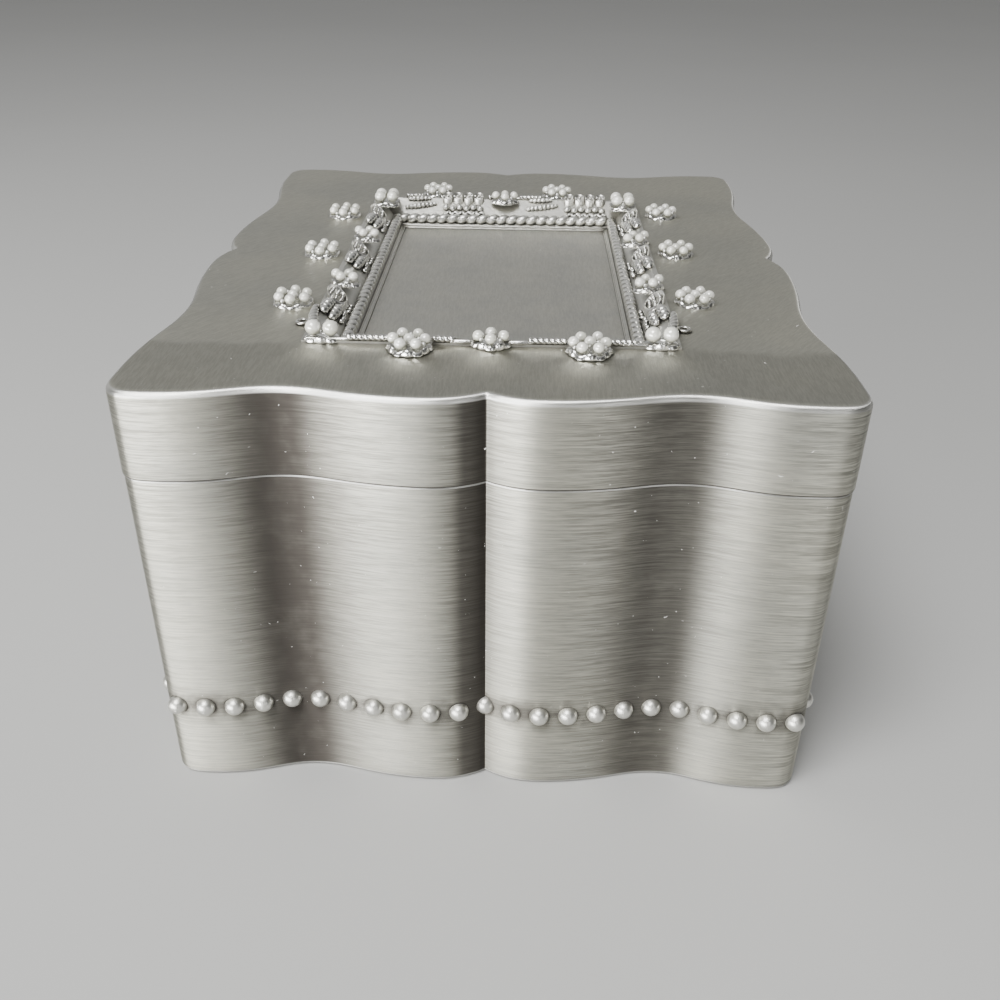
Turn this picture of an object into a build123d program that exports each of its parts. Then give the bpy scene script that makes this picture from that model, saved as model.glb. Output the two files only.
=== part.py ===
from build123d import *
import math
import os

# Rosary box: a footless, scalloped metal keepsake box. A deep cast box and a shallow cast lid meet
# flush at a seam and are joined behind by two small barrel hinges. The lid's top is cut out for a
# sunk frame with a plain plate at its bottom, and the frame carries rope mouldings, leaves and
# clusters of pearls. A row of beads runs round the foot of the box, and velvet lines the inside.
# Millimetres, +Z up, front at -Y, origin at the centre of the base.

# ---- driving dimensions: the shells -------------------------------------------------------------
half_width = 50.0          # centre to the side walls' crests, X
half_depth = 62.2          # centre to the front and rear walls' crests, Y
box_height = 67.4          # base to the lid's flat top
lid_height = 13.2          # seam to the lid's flat top
wall = 1.5                 # both shells
reveal = 0.2               # the box stands this far inside the lid's outline
floor_height = 1.2         # underside of the floor, over the felt
base_rounding = 1.0
lid_rounding = 1.1
seam_rounding = 0.3
seam = box_height - lid_height

# ---- the scalloped wall, half of it, from the notch at its middle to its corner -----------------
# Each wall has a sharp notch, a broad lobe, a valley and a corner lobe, all arcs tangent to each
# other. Places are distances along the wall, depths are measured in from its crests.
front_notch_depth = 2.3
front_crest = 0.15 * half_width
front_valley = 0.544 * half_width
front_valley_depth = 2.85
front_corner_crest = 7.0   # in from the corner
front_corner_dip = 0.6
side_notch_depth = 2.1
side_crest = 0.1125 * half_depth
side_valley = 0.5064 * half_depth
side_valley_depth = 2.4
side_corner_crest = 8.2    # in from the corner
side_corner_dip = 0.15
lobe_share = 0.70          # of an ogee between crest and valley, the part that is the broad lobe
corner_lobe_share = 0.64   # the same, for the corner lobe
corner_radius = 3.9
notch_radius = 0.4

# ---- beads round the foot -----------------------------------------------------------------------
bead_radius = 1.5
bead_pitch = 4.4
bead_height = 14.5
bead_corner_gap = 2.4

# ---- felt and linings ---------------------------------------------------------------------------
foot_rim = 2.2             # metal left outside the felt
felt_thickness = 1.1
lining_thickness = 1.2
lining_gap = 0.3
lining_drop = 1.5          # the wall lining stops this far under the seam
floor_pad_thickness = 3.0
lid_pad_thickness = 3.0
pad_step = 0.8             # a pad's padding stands this much above and inside its board

# ---- hinges -------------------------------------------------------------------------------------
hinge_inset = 9.0          # centre of each hinge, in from the side walls' crests
hinge_length = 11.0
hinge_standoff = 0.35      # the pin's line behind the rear wall's crests
knuckle_radius = 1.5
knuckle_share = 0.34       # of the hinge's length, the lid's middle knuckle
knuckle_gap = 0.12
pin_radius = 0.6
pin_clearance = 0.03
pin_head_radius = 0.95
pin_head_length = 0.4
leaf_thickness = 0.8
leaf_height = 7.0
leaf_reach = 3.5           # from the lid's crests in to the leaf's inner face
leaf_fit = 0.05
hinge_room = 0.2           # clearance cut round the barrel and the tongues

# ---- the sunk frame -----------------------------------------------------------------------------
frame_side_margin = 23.0   # the side walls' crests in to the frame
frame_end_margin = 21.8    # half of what the lid is longer than the frame
frame_centre_y = -3.9      # the frame sits this far towards the front
rail_width = 6.6
lip_height = 0.35          # the rim stands on the lid
lip_width = 1.0            # rests on the lid, and is set back from its opening
lip_top_width = 0.8
plate_depth = 4.4          # the lid's top down to the plate
plate_thickness = 1.0
plate_tuck = 1.2           # the plate reaches under the rails
plate_rebate = 0.3         # its edge is stepped down this much where they cover it
rail_depth = 2.4           # of the rail's outer side, under the lid's top
rail_foot = 2.9            # width of the rail's flat underside
bevel_width = 0.9
bevel_drop = 0.6
frame_fit = 0.05

# ---- mouldings and ornament on the frame --------------------------------------------------------
rope_radius = 0.95
rope_neck = 0.8            # radius between two turns
rope_pitch = 2.05
rope_in = 4.95             # rope's line, in from the frame's outer edge
rope_rise = 0.45           # rope's line above the slope
cord_radius = 0.48
cord_neck = 0.39
cord_pitch = 1.0
cord_room = 0.35           # between a cord's end and the cup beside it
cord_corner_room = 6.5     # the cord stops this far short of the frame's corners
seat = 0.02                # between an ornament and what it is soldered to

pearl_radius = 0.83
pearl_pitch = 2.27
inner_pearl_pitch = 2.1
corner_pearl_radius = 1.15
corner_pearl_pitch = 2.48
cup_thickness = 0.4
cup_margin = 0.42
cup_middle = 0.62          # of the pitch, radius of the cup's middle
side_offset = 4.4          # outer clusters' middles, out from the rim, on the sides
rear_offset = 4.2          # the same at the rear
front_offset = 1.7         # the same at the front, where they stand on the rim
inner_offset = 2.3         # an inner cluster's middle, in from the rim's outer edge
corner_offset = 2.9        # a corner cluster's middle, in from the frame's sides
front_corner_offset = 0.9  # the same, in from the front
rear_corner_offset = 5.0   # the same, in from the rear
inner_shift = -2.6         # the side rails' inner clusters, from the frame's middle

leaf_field_in = 2.35       # the leaves' middle, in from the frame's outer edge
leaf_shift = 1.35          # the side rails' leaves, from the frame's middle
leaf_trail = 5.3           # the rear rail's leaves, beside their clusters
front_leaf_trail = 2.0
tip_lobe = (3.0, 1.85)     # half length and half width of a leaf's broad lobe
foot_lobe = (2.6, 0.9)     # the same of its two narrow lobes
tip_lobe_along = 2.6
foot_lobe_along = 3.1
leaf_rise = 1.0
leaf_rounding = 0.3

frame_half_x = half_width - frame_side_margin
frame_half_y = half_depth - frame_end_margin
hinge_place = half_width - hinge_inset
cord_end = frame_half_x - cord_corner_room
side_spacing = 0.626 * frame_half_y    # outer clusters along the sides: front, middle and rear
end_spacing = 0.467 * frame_half_x     # the same on the front and rear, each side of the middle
inner_spacing = 0.31 * frame_half_y    # inner clusters along the sides, each side of the middle
leaf_spacing = 0.612 * frame_half_y
lid_top = box_height
rim_top = lid_top + lip_height
plate_top = lid_top - plate_depth
hinge_line = half_depth + hinge_standoff
frame_middle = Vector(0, frame_centre_y, 0)
inside = reveal + wall + lining_gap
X_AXIS = Vector(1, 0, 0)
Y_AXIS = Vector(0, 1, 0)
Z_AXIS = Vector(0, 0, 1)


def finish(build, name):
    """Labels a finished piece and writes it."""
    build.part.label = name
    export_step(build.part, f"parts/{name}.step")


def half_wave(crests, along, inward, notch_depth, crest, valley, valley_depth, corner_crest, corner):
    """Six tangent arcs from a wall's notch to its corner; corner is (distance, depth)."""
    def at(distance, depth):
        return crests + along * distance + inward * depth

    notch_point = at(0, notch_depth)
    crest_point = at(crest, 0)
    valley_point = at(valley, valley_depth)
    corner_crest_point = at(corner_crest, 0)
    lobe_end = crest_point + (valley_point - crest_point) * lobe_share
    corner_lobe_end = corner_crest_point + (valley_point - corner_crest_point) * corner_lobe_share
    TangentArc(crest_point, notch_point, tangent=-along)
    TangentArc(crest_point, lobe_end, tangent=along)
    TangentArc(valley_point, lobe_end, tangent=-along)
    TangentArc(valley_point, corner_lobe_end, tangent=along)
    TangentArc(corner_crest_point, corner_lobe_end, tangent=-along)
    TangentArc(corner_crest_point, at(*corner), tangent=along)


def front_half(set_back=0.0):
    """Half of the rear wall's line, which is the front's too, by mirroring."""
    half_wave(
        Y_AXIS * (half_depth - set_back), X_AXIS, -Y_AXIS,
        front_notch_depth, front_crest, front_valley, front_valley_depth,
        half_width - front_corner_crest,
        (half_width - side_corner_dip, front_corner_dip),
    )


def side_half(set_back=0.0):
    """Half of the right wall's line, towards the rear."""
    half_wave(
        X_AXIS * (half_width - set_back), Y_AXIS, -X_AXIS,
        side_notch_depth, side_crest, side_valley, side_valley_depth,
        half_depth - side_corner_crest,
        (half_depth - front_corner_dip, side_corner_dip),
    )


# ---- the outline that every shell, lining and pad shares ----------------------------------------
with BuildSketch() as scallop:
    with BuildLine():
        front_half()
        side_half()
        mirror(about=Plane.XZ)
        mirror(about=Plane.YZ)
    make_face()
    corners = scallop.vertices().filter_by(
        lambda v: abs(v.X) > half_width - corner_radius and abs(v.Y) > half_depth - corner_radius
    )
    fillet(corners, radius=corner_radius)


def scalloped(inset):
    """Draws the outline in the sketch under way, this far inside the lid's."""
    add(scallop.sketch)
    if inset:
        offset(amount=-inset)


def hinge_sockets():
    """Cuts room for both barrels and their tongues out of a shell."""
    length = hinge_length + 2 * (knuckle_gap + pin_head_length + hinge_room)
    tongue_room = leaf_thickness + 2 * hinge_room
    with Locations((-hinge_place, hinge_line, seam), (hinge_place, hinge_line, seam)):
        Cylinder(knuckle_radius + hinge_room, length, rotation=(0, 90, 0), mode=Mode.SUBTRACT)
        Box(
            length, leaf_reach + hinge_standoff, 2 * tongue_room,
            align=(Align.CENTER, Align.MAX, Align.CENTER), mode=Mode.SUBTRACT,
        )


def leaf_windows():
    """Cuts room for the hinge leaves out of a lining."""
    width = hinge_length + 2 * lining_gap
    with Locations((-hinge_place, hinge_line, seam), (hinge_place, hinge_line, seam)):
        Box(
            width, leaf_reach + hinge_standoff + lining_gap, 2 * (leaf_height + lining_gap),
            align=(Align.CENTER, Align.MAX, Align.CENTER), mode=Mode.SUBTRACT,
        )


os.makedirs("parts", exist_ok=True)

# ---- box ----------------------------------------------------------------------------------------
with BuildPart() as box_body:
    with BuildSketch():
        scalloped(reveal)
    extrude(amount=seam)
    fillet(box_body.faces().sort_by(Axis.Z)[0].edges(), radius=base_rounding)
    fillet(box_body.faces().sort_by(Axis.Z)[-1].edges(), radius=seam_rounding)
    with BuildSketch(Plane.XY.offset(floor_height + wall)):
        scalloped(reveal + wall)
    extrude(amount=box_height, mode=Mode.SUBTRACT)
    with BuildSketch():
        scalloped(reveal + foot_rim)
    extrude(amount=floor_height, mode=Mode.SUBTRACT)
    hinge_sockets()
finish(box_body, "box_body")

with BuildPart() as base_felt:
    with BuildSketch():
        scalloped(reveal + foot_rim + lining_gap)
    extrude(amount=felt_thickness)
finish(base_felt, "base_felt")

# ---- beads, half balls soldered round the box ---------------------------------------------------
with BuildPart(mode=Mode.PRIVATE) as box_core:
    with BuildSketch(Plane.XY.offset(bead_height - 2 * bead_radius)):
        scalloped(reveal)
    extrude(amount=4 * bead_radius)

with BuildLine() as front_line:
    front_half(reveal)
with BuildLine() as side_line:
    side_half(reveal)


def bead_places(line, flip_along, flip_across):
    """Bead centres on one wall, from its notch both ways to just short of its corners."""
    wire = line.wire()
    count = int((wire.length - bead_corner_gap) / bead_pitch)
    along = [wire.length - i * bead_pitch for i in range(count + 1)]
    places = [wire.position_at(distance, position_mode=PositionMode.LENGTH) for distance in along]
    places = [(place.X, place.Y) for place in places]
    places += [(flip_along[0] * x, flip_along[1] * y) for x, y in places[1:]]
    return [(flip_across[0] * x, flip_across[1] * y, bead_height) for x, y in places]


facing_y = (90, 0, 0)
facing_x = (0, 90, 0)
bead_rows = {
    "beads_rear": (bead_places(front_line, (-1, 1), (1, 1)), facing_y),
    "beads_front": (bead_places(front_line, (-1, 1), (1, -1)), facing_y),
    "beads_right": (bead_places(side_line, (1, -1), (1, 1)), facing_x),
    "beads_left": (bead_places(side_line, (1, -1), (-1, 1)), facing_x),
}
for row_name, (places, facing) in bead_rows.items():
    with BuildPart() as bead_row:
        with Locations(*places):
            Sphere(bead_radius, rotation=facing)
        add(box_core.part, mode=Mode.SUBTRACT)
    finish(bead_row, row_name)

# ---- linings ------------------------------------------------------------------------------------
with BuildPart() as wall_lining:
    with BuildSketch(Plane.XY.offset(floor_height + wall)):
        scalloped(inside)
    extrude(amount=seam - lining_drop - floor_height - wall)
    with BuildSketch(Plane.XY.offset(floor_height + wall)):
        scalloped(inside + lining_thickness)
    extrude(amount=seam, mode=Mode.SUBTRACT)
    leaf_windows()
finish(wall_lining, "wall_lining")

with BuildPart() as floor_pad:
    floor_pad_inset = inside + lining_thickness + lining_gap
    with BuildSketch(Plane.XY.offset(floor_height + wall)):
        scalloped(floor_pad_inset)
    extrude(amount=floor_pad_thickness - pad_step)
    with BuildSketch(Plane.XY.offset(floor_height + wall)):
        scalloped(floor_pad_inset + pad_step)
    extrude(amount=floor_pad_thickness)
finish(floor_pad, "floor_pad")

# ---- lid ----------------------------------------------------------------------------------------
opening_x = frame_half_x - lip_width
opening_y = frame_half_y - lip_width
with BuildPart() as lid_shell:
    with BuildSketch(Plane.XY.offset(seam)) as lid_outline:
        scalloped(0)
        notches = lid_outline.vertices().filter_by(lambda v: min(abs(v.X), abs(v.Y)) < notch_radius)
        fillet(notches, radius=notch_radius)
    extrude(amount=lid_height)
    fillet(lid_shell.faces().sort_by(Axis.Z)[-1].edges(), radius=lid_rounding)
    fillet(lid_shell.faces().sort_by(Axis.Z)[0].edges(), radius=seam_rounding)
    with BuildSketch(Plane.XY.offset(seam)):
        scalloped(wall)
    extrude(amount=lid_height - wall, mode=Mode.SUBTRACT)
    with Locations((0, frame_centre_y, seam)):
        Box(
            2 * opening_x, 2 * opening_y, 2 * lid_height,
            align=(Align.CENTER, Align.CENTER, Align.MIN), mode=Mode.SUBTRACT,
        )
    hinge_sockets()
finish(lid_shell, "lid_shell")

plate_underside = plate_top - plate_thickness
with BuildPart() as centre_plate:
    with BuildSketch(Plane.XY.offset(plate_underside)):
        with Locations((0, frame_centre_y)):
            Rectangle(
                2 * (frame_half_x - rail_width + plate_tuck),
                2 * (frame_half_y - rail_width + plate_tuck),
            )
    extrude(amount=plate_thickness - plate_rebate)
    with BuildSketch(Plane.XY.offset(plate_underside)):
        with Locations((0, frame_centre_y)):
            Rectangle(
                2 * (frame_half_x - rail_width - frame_fit),
                2 * (frame_half_y - rail_width - frame_fit),
            )
    extrude(amount=plate_thickness)
finish(centre_plate, "centre_plate")

with BuildPart() as lid_pad:
    with BuildSketch(Plane.XY.offset(plate_underside - seat)):
        scalloped(wall + lining_gap)
    extrude(amount=pad_step - lid_pad_thickness)
    with BuildSketch(Plane.XY.offset(plate_underside - seat)):
        scalloped(wall + lining_gap + pad_step)
    extrude(amount=-lid_pad_thickness)
    leaf_windows()
finish(lid_pad, "lid_pad")

# ---- hinges: each leaf is a plate inside the wall, a tongue over its edge and a barrel ----------
middle_knuckle = hinge_length * knuckle_share


def hinge_leaf(x, up, shell_inset):
    """A leaf of the hinge at x: up is +1 for the lid's leaf and -1 for the box's."""
    with BuildPart() as leaf:
        start = seam + up * leaf_fit
        with BuildSketch(Plane.XY.offset(start)):
            with Locations((x, half_depth - leaf_reach)):
                Rectangle(hinge_length, leaf_reach, align=(Align.CENTER, Align.MIN))
            add(
                offset(scallop.sketch, amount=-shell_inset - leaf_fit, mode=Mode.PRIVATE),
                mode=Mode.INTERSECT,
            )
        extrude(amount=up * leaf_height)
        with Locations((x, half_depth - leaf_reach, start)):
            Box(
                hinge_length, leaf_reach + hinge_standoff, leaf_thickness,
                align=(Align.CENTER, Align.MIN, Align.MIN if up > 0 else Align.MAX),
            )
        with Locations((x, hinge_line, seam)):
            Cylinder(knuckle_radius, hinge_length, rotation=(0, 90, 0))
        # Make room for the other leaf's knuckles.
        other = knuckle_radius + hinge_room
        if up > 0:
            side_length = (hinge_length - middle_knuckle) / 2 + knuckle_gap
            for side in (-1, 1):
                with Locations((x + side * hinge_length / 2, hinge_line, seam)):
                    Cylinder(other, 2 * side_length, rotation=(0, 90, 0), mode=Mode.SUBTRACT)
        else:
            with Locations((x, hinge_line, seam)):
                Cylinder(other, middle_knuckle, rotation=(0, 90, 0), mode=Mode.SUBTRACT)
        with Locations((x, hinge_line, seam)):
            Cylinder(pin_radius + pin_clearance, 2 * hinge_length, rotation=(0, 90, 0), mode=Mode.SUBTRACT)
    return leaf


for side_name, x in (("left", -hinge_place), ("right", hinge_place)):
    finish(hinge_leaf(x, -1, reveal + wall), f"hinge_leaf_box_{side_name}")
    finish(hinge_leaf(x, 1, wall), f"hinge_leaf_lid_{side_name}")
    with BuildPart() as hinge_pin:
        with Locations((x, hinge_line, seam)):
            Cylinder(pin_radius, hinge_length + 2 * knuckle_gap, rotation=(0, 90, 0))
        head_place = hinge_length / 2 + knuckle_gap + pin_head_length / 2
        for end in (-1, 1):
            with Locations((x + end * head_place, hinge_line, seam)):
                Cylinder(pin_head_radius, pin_head_length, rotation=(0, 90, 0))
    finish(hinge_pin, f"hinge_pin_{side_name}")

# ---- frame rails --------------------------------------------------------------------------------
# Each rail is drawn as a section: distance in from the frame's outer edge, and height.
rails = {
    "front": (-Y_AXIS, frame_half_y, frame_half_x),
    "rear": (Y_AXIS, frame_half_y, frame_half_x),
    "left": (-X_AXIS, frame_half_x, frame_half_y),
    "right": (X_AXIS, frame_half_x, frame_half_y),
}
slope_start = (lip_top_width, rim_top)
slope_end = (rail_width - bevel_width, plate_top + bevel_drop)
slope_fall = (slope_start[1] - slope_end[1]) / (slope_end[0] - slope_start[0])
slope_angle = math.degrees(math.atan(slope_fall))


def slope_height(inward):
    """Height of the sloping face at this distance in from the frame's outer edge."""
    return slope_start[1] - slope_fall * (inward - slope_start[0])


def section_plane(outward, reach):
    """Plane across a rail at its middle: x runs inward from the outer edge, y is up."""
    inward = -outward
    return Plane(origin=frame_middle + outward * reach, x_dir=inward, z_dir=inward.cross(Z_AXIS))


def mitre(outward, reach, run):
    """Keeps what lies between the two corner mitres of a rail."""
    plane = section_plane(outward, reach)
    along = plane.z_dir
    inner = plane.origin - outward * rail_width
    corner_points = [
        plane.origin + along * run,
        plane.origin - along * run,
        inner - along * (run - rail_width),
        inner + along * (run - rail_width),
    ]
    with BuildSketch(Plane.XY.offset(plate_underside)) as plan:
        with BuildLine():
            Polyline(*[(p.X, p.Y) for p in corner_points], close=True)
        make_face()
    extrude(plan.sketch, amount=box_height, mode=Mode.INTERSECT)


def turned_moulding(line, radius, neck, pitch, start, stop):
    """A row of rings turned about the plane's x axis, from start to stop."""
    count = max(1, round((stop - start) / pitch))
    step = (stop - start) / count
    with BuildSketch(line) as profile:
        with BuildLine():
            for i in range(count):
                here = start + i * step
                ThreePointArc((here, neck), (here + step / 2, radius), (here + step, neck))
            Polyline((stop, neck), (stop, 0), (start, 0), (start, neck))
        make_face()
    revolve(profile.sketch, axis=Axis(line.origin, line.x_dir))


def moulding_plane(outward, reach, inward, height):
    """Plane whose x axis is a moulding's line along a rail."""
    across = section_plane(outward, reach)
    origin = across.origin - outward * inward + Z_AXIS * height
    return Plane(origin=origin, x_dir=across.z_dir, z_dir=outward)


for rail_name, (outward, reach, run) in rails.items():
    rope_height = slope_height(rope_in) + rope_rise
    with BuildPart() as rail:
        with BuildSketch(section_plane(outward, reach)):
            with BuildLine():
                Polyline(
                    (0, lid_top), (0, rim_top), slope_start, slope_end,
                    (rail_width, plate_top + bevel_drop / 3), (rail_width, plate_top - plate_rebate),
                    (rail_width - rail_foot, plate_top - plate_rebate),
                    (lip_width + frame_fit, lid_top - rail_depth),
                    (lip_width + frame_fit, lid_top), close=True,
                )
            make_face()
            with Locations((rope_in, rope_height)):
                Circle(rope_radius + seat, mode=Mode.SUBTRACT)
        extrude(amount=run, both=True)
        mitre(outward, reach, run)
    finish(rail, f"frame_rail_{rail_name}")

    with BuildPart() as rope:
        line = moulding_plane(outward, reach, rope_in, rope_height)
        turned_moulding(line, rope_radius, rope_neck, rope_pitch, -run, run)
        mitre(outward, reach, run)
    finish(rope, f"rope_{rail_name}")


# ---- clusters: scalloped cups with pearls standing on them --------------------------------------
# The outer clusters were soldered by hand: each rail's stand this far off its middle, along X or Y.
strays = {"front": 1.25, "rear": -1.7, "left": 1.3, "right": 4.9}


def spots_on(rail_name, out, steps):
    """Places on a rail: out from its outer edge, and these steps along X or Y from its middle."""
    outward, reach, run = rails[rail_name]
    along = X_AXIS if rail_name in ("front", "rear") else Y_AXIS
    spots = [frame_middle + outward * (reach + out) + along * step for step in steps]
    return [(spot.X, spot.Y) for spot in spots]


def seven_pearls(turned):
    """One pearl with six round it, two of them level with it; turned is a quarter turn."""
    start = 90 if turned else 0
    ring = [Vector(pearl_pitch, 0).rotate(Axis.Z, start + 60 * k) for k in range(6)]
    return [(0, 0)] + [(p.X, p.Y) for p in ring]


rise = inner_pearl_pitch * math.sqrt(3) / 2
half_pitch = inner_pearl_pitch / 2
slanted = [(-1.5, 0.5), (0.5, 0.5), (-0.5, -0.5), (1.5, -0.5)]
left_four = [(px * half_pitch, py * rise) for px, py in slanted]
right_four = [(-px, py) for px, py in left_four]
middle_four = [(-rise, 0), (rise, 0), (0, -half_pitch), (0, half_pitch)]
corner_half = corner_pearl_pitch / 2
corner_two = [(-corner_half, 0), (corner_half, 0)]
corner_four = [(sx * corner_half, sy * corner_half) for sx in (-1, 1) for sy in (-1, 1)]


def write_clusters(name, clusters, base, radius, pitch):
    """Writes the cups and the pearls of like clusters; clusters pairs a spot with its pearls."""
    with BuildPart() as cups:
        with BuildSketch(Plane.XY.offset(base)) as petals:
            with Locations(*[spot for spot, places in clusters]):
                Circle(cup_middle * pitch)
            with Locations(*[(sx + px, sy + py) for (sx, sy), places in clusters for px, py in places]):
                Circle(radius + cup_margin)
        extrude(petals.sketch, amount=cup_thickness)
    finish(cups, f"cups_{name}")
    height = base + cup_thickness + radius + seat
    with BuildPart() as pearls:
        with Locations(*[(sx + px, sy + py, height) for (sx, sy), places in clusters for px, py in places]):
            Sphere(radius)
    finish(pearls, f"pearls_{name}")


outer_offsets = {"front": front_offset, "rear": rear_offset, "left": side_offset, "right": side_offset}
outer_steps = {}
for rail_name in rails:
    stray = strays[rail_name]
    if rail_name in ("front", "rear"):
        outer_steps[rail_name] = (stray - end_spacing, stray + end_spacing)
    else:
        outer_steps[rail_name] = (stray - side_spacing, stray, stray + side_spacing)
    outer = spots_on(rail_name, outer_offsets[rail_name], outer_steps[rail_name])
    base = rim_top + seat if rail_name == "front" else lid_top
    places = seven_pearls(turned=rail_name == "left")
    write_clusters(f"outer_{rail_name}", [(spot, places) for spot in outer], base, pearl_radius, pearl_pitch)

inner_places = {"front": middle_four, "rear": middle_four, "left": left_four, "right": right_four}
for rail_name, places in inner_places.items():
    if rail_name in ("front", "rear"):
        spots = spots_on(rail_name, -inner_offset if rail_name == "rear" else 0, (0,))
    else:
        spots = spots_on(rail_name, -inner_offset, (inner_shift - inner_spacing, inner_shift + inner_spacing))
    write_clusters(
        f"inner_{rail_name}", [(spot, places) for spot in spots],
        rim_top + seat, pearl_radius, inner_pearl_pitch,
    )

corner_x = frame_half_x - corner_offset
front_corner_y = frame_centre_y - frame_half_y + front_corner_offset
rear_corner_y = frame_centre_y + frame_half_y - rear_corner_offset
corners = [((sx * corner_x, front_corner_y), corner_two) for sx in (-1, 1)]
corners += [((sx * corner_x, rear_corner_y), corner_four) for sx in (-1, 1)]
write_clusters("corner", corners, rim_top + seat, corner_pearl_radius, corner_pearl_pitch)

# ---- twisted cord on the front and rear rims, in lengths that stop clear of the cups ------------
middle_room = rise + pearl_radius + cup_margin + cord_room
outer_room = pearl_pitch + pearl_radius + cup_margin + cord_room
for rail_name in ("front", "rear"):
    outward, reach, run = rails[rail_name]
    spans = [(-cord_end, -middle_room), (middle_room, cord_end)]
    if rail_name == "front":
        low, high = outer_steps["front"]
        spans = [
            (-cord_end, low - outer_room), (low + outer_room, -middle_room),
            (middle_room, high - outer_room), (high + outer_room, cord_end),
        ]
    cord_line = moulding_plane(outward, reach, lip_width / 2, rim_top + cord_radius + seat)
    across = 1 if cord_line.x_dir.X > 0 else -1
    with BuildPart() as rim_cord:
        for span in spans:
            start, stop = sorted(across * end for end in span)
            turned_moulding(cord_line, cord_radius, cord_neck, cord_pitch, start, stop)
    finish(rim_cord, f"rim_cord_{rail_name}")

# ---- leaves on the slope: a broad lobe and two narrow ones, all set close ------------------------
# The front rail's are narrower and lie lower, clear of the cups that stand on the rim.
tilt = math.radians(slope_angle)
for rail_name, (outward, reach, run) in rails.items():
    if rail_name in ("front", "rear"):
        trail = front_leaf_trail if rail_name == "front" else leaf_trail
        along, steps = X_AXIS, [step + trail for step in outer_steps[rail_name]]
    else:
        along, steps = Y_AXIS, [leaf_shift + k * leaf_spacing for k in (-1, 0, 1)]
    narrowing, lowering = (0.62, 0.75) if rail_name == "front" else (1.0, 0.0)
    down_slope = -outward * math.cos(tilt) - Z_AXIS * math.sin(tilt)
    normal = -outward * math.sin(tilt) + Z_AXIS * math.cos(tilt)
    lobes = [(tip_lobe_along, 0.0, tip_lobe)]
    lobes += [(-foot_lobe_along, side * (foot_lobe[1] + 0.08), foot_lobe) for side in (-1, 1)]
    with BuildPart() as leaves:
        for step in steps:
            base = frame_middle + outward * (reach - leaf_field_in) + along * step
            base += Z_AXIS * slope_height(leaf_field_in) + normal * seat
            for lobe_along, across, (half_long, half_wide) in lobes:
                middle = base + along * lobe_along + down_slope * (across * narrowing + lowering)
                face = Plane(origin=middle, x_dir=along, z_dir=normal)
                with BuildSketch(face) as lobe_outline:
                    if across:
                        SlotOverall(2 * half_long, 2 * half_wide * narrowing)
                    else:
                        Ellipse(half_long, half_wide * narrowing)
                extrude(lobe_outline.sketch, amount=leaf_rise)
                crown = leaves.faces(Select.LAST).sort_by(Axis(middle, normal))[-1]
                fillet(crown.edges(), radius=leaf_rounding)
    finish(leaves, f"leaves_{rail_name}")
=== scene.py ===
import math
import random

import bpy
import numpy as np
from mathutils import Matrix, Vector, noise


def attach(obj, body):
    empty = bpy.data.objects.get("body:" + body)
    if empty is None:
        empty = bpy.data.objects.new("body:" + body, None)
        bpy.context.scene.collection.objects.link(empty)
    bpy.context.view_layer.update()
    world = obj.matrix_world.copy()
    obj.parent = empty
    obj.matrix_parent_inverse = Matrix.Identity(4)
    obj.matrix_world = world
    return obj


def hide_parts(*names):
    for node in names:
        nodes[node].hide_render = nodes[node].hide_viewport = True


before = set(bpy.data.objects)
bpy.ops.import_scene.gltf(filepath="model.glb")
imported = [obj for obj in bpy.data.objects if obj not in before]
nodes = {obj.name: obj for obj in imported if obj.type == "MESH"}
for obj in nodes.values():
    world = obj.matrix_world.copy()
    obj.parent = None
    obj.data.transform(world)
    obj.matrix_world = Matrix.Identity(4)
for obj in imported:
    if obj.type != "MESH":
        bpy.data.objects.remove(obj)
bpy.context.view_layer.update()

# Rosary box: a scalloped pewter keepsake box with a hinged lid. A pearl-set frame is sunk in the
# lid, a row of beads runs round the foot, and the inside is lined with velvet. The sections below
# follow the box as it is put together, after the camera, the table and the studio light.
scene = bpy.context.scene
MM = 0.001

# ---- camera -------------------------------------------------------------------------------------
# It stands close in front of the box, a little right of its middle, and looks down at it by thirty
# degrees, as someone does who is about to open the lid.
camera_place = (0.00468, -0.17980, 0.12228)
camera_yaw, camera_pitch, camera_roll = -0.02300, 0.53385, 0.01223
looking = Vector((
    math.sin(camera_yaw) * math.cos(camera_pitch),
    math.cos(camera_yaw) * math.cos(camera_pitch),
    -math.sin(camera_pitch),
))
level = Vector((math.cos(camera_yaw), -math.sin(camera_yaw), 0))
upright = level.cross(looking)
camera_across = math.cos(camera_roll) * level + math.sin(camera_roll) * upright
camera_up = -math.sin(camera_roll) * level + math.cos(camera_roll) * upright
camera = bpy.data.objects.new("camera", bpy.data.cameras.new("camera"))
camera.data.lens = 36.76
camera.data.sensor_width = 36
camera.data.clip_start = 0.005
camera.matrix_world = Matrix.Translation(camera_place) @ Matrix(
    (camera_across, camera_up, -looking)
).transposed().to_4x4()
scene.collection.objects.link(camera)
scene.camera = camera


# ---- table and studio light ---------------------------------------------------------------------
# The box stands on a wide pale table. A long low window lights its walls from the front left, a
# square lamp hangs over its front, and a small one fills in from the front right. The room glows
# behind it and overhead, for the lid's top to mirror.
def put(tree, kind, sockets=None, **settings):
    """Adds a shader node, sets its properties, and fills its sockets with values or links."""
    node = tree.nodes.new("ShaderNode" + kind)
    for key, value in settings.items():
        setattr(node, key, value)
    for key, value in (sockets or {}).items():
        if isinstance(value, bpy.types.NodeSocket):
            tree.links.new(value, node.inputs[key])
        else:
            node.inputs[key].default_value = value
    return node


def start_material(name, **plain):
    """A new material with its shader's plain values set; gives the material, tree and shader."""
    material = bpy.data.materials.new(name)
    material.use_nodes = True
    tree = material.node_tree
    shader = tree.nodes["Principled BSDF"]
    for key, value in plain.items():
        shader.inputs[key.replace("_", " ")].default_value = value
    return material, tree, shader


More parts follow.
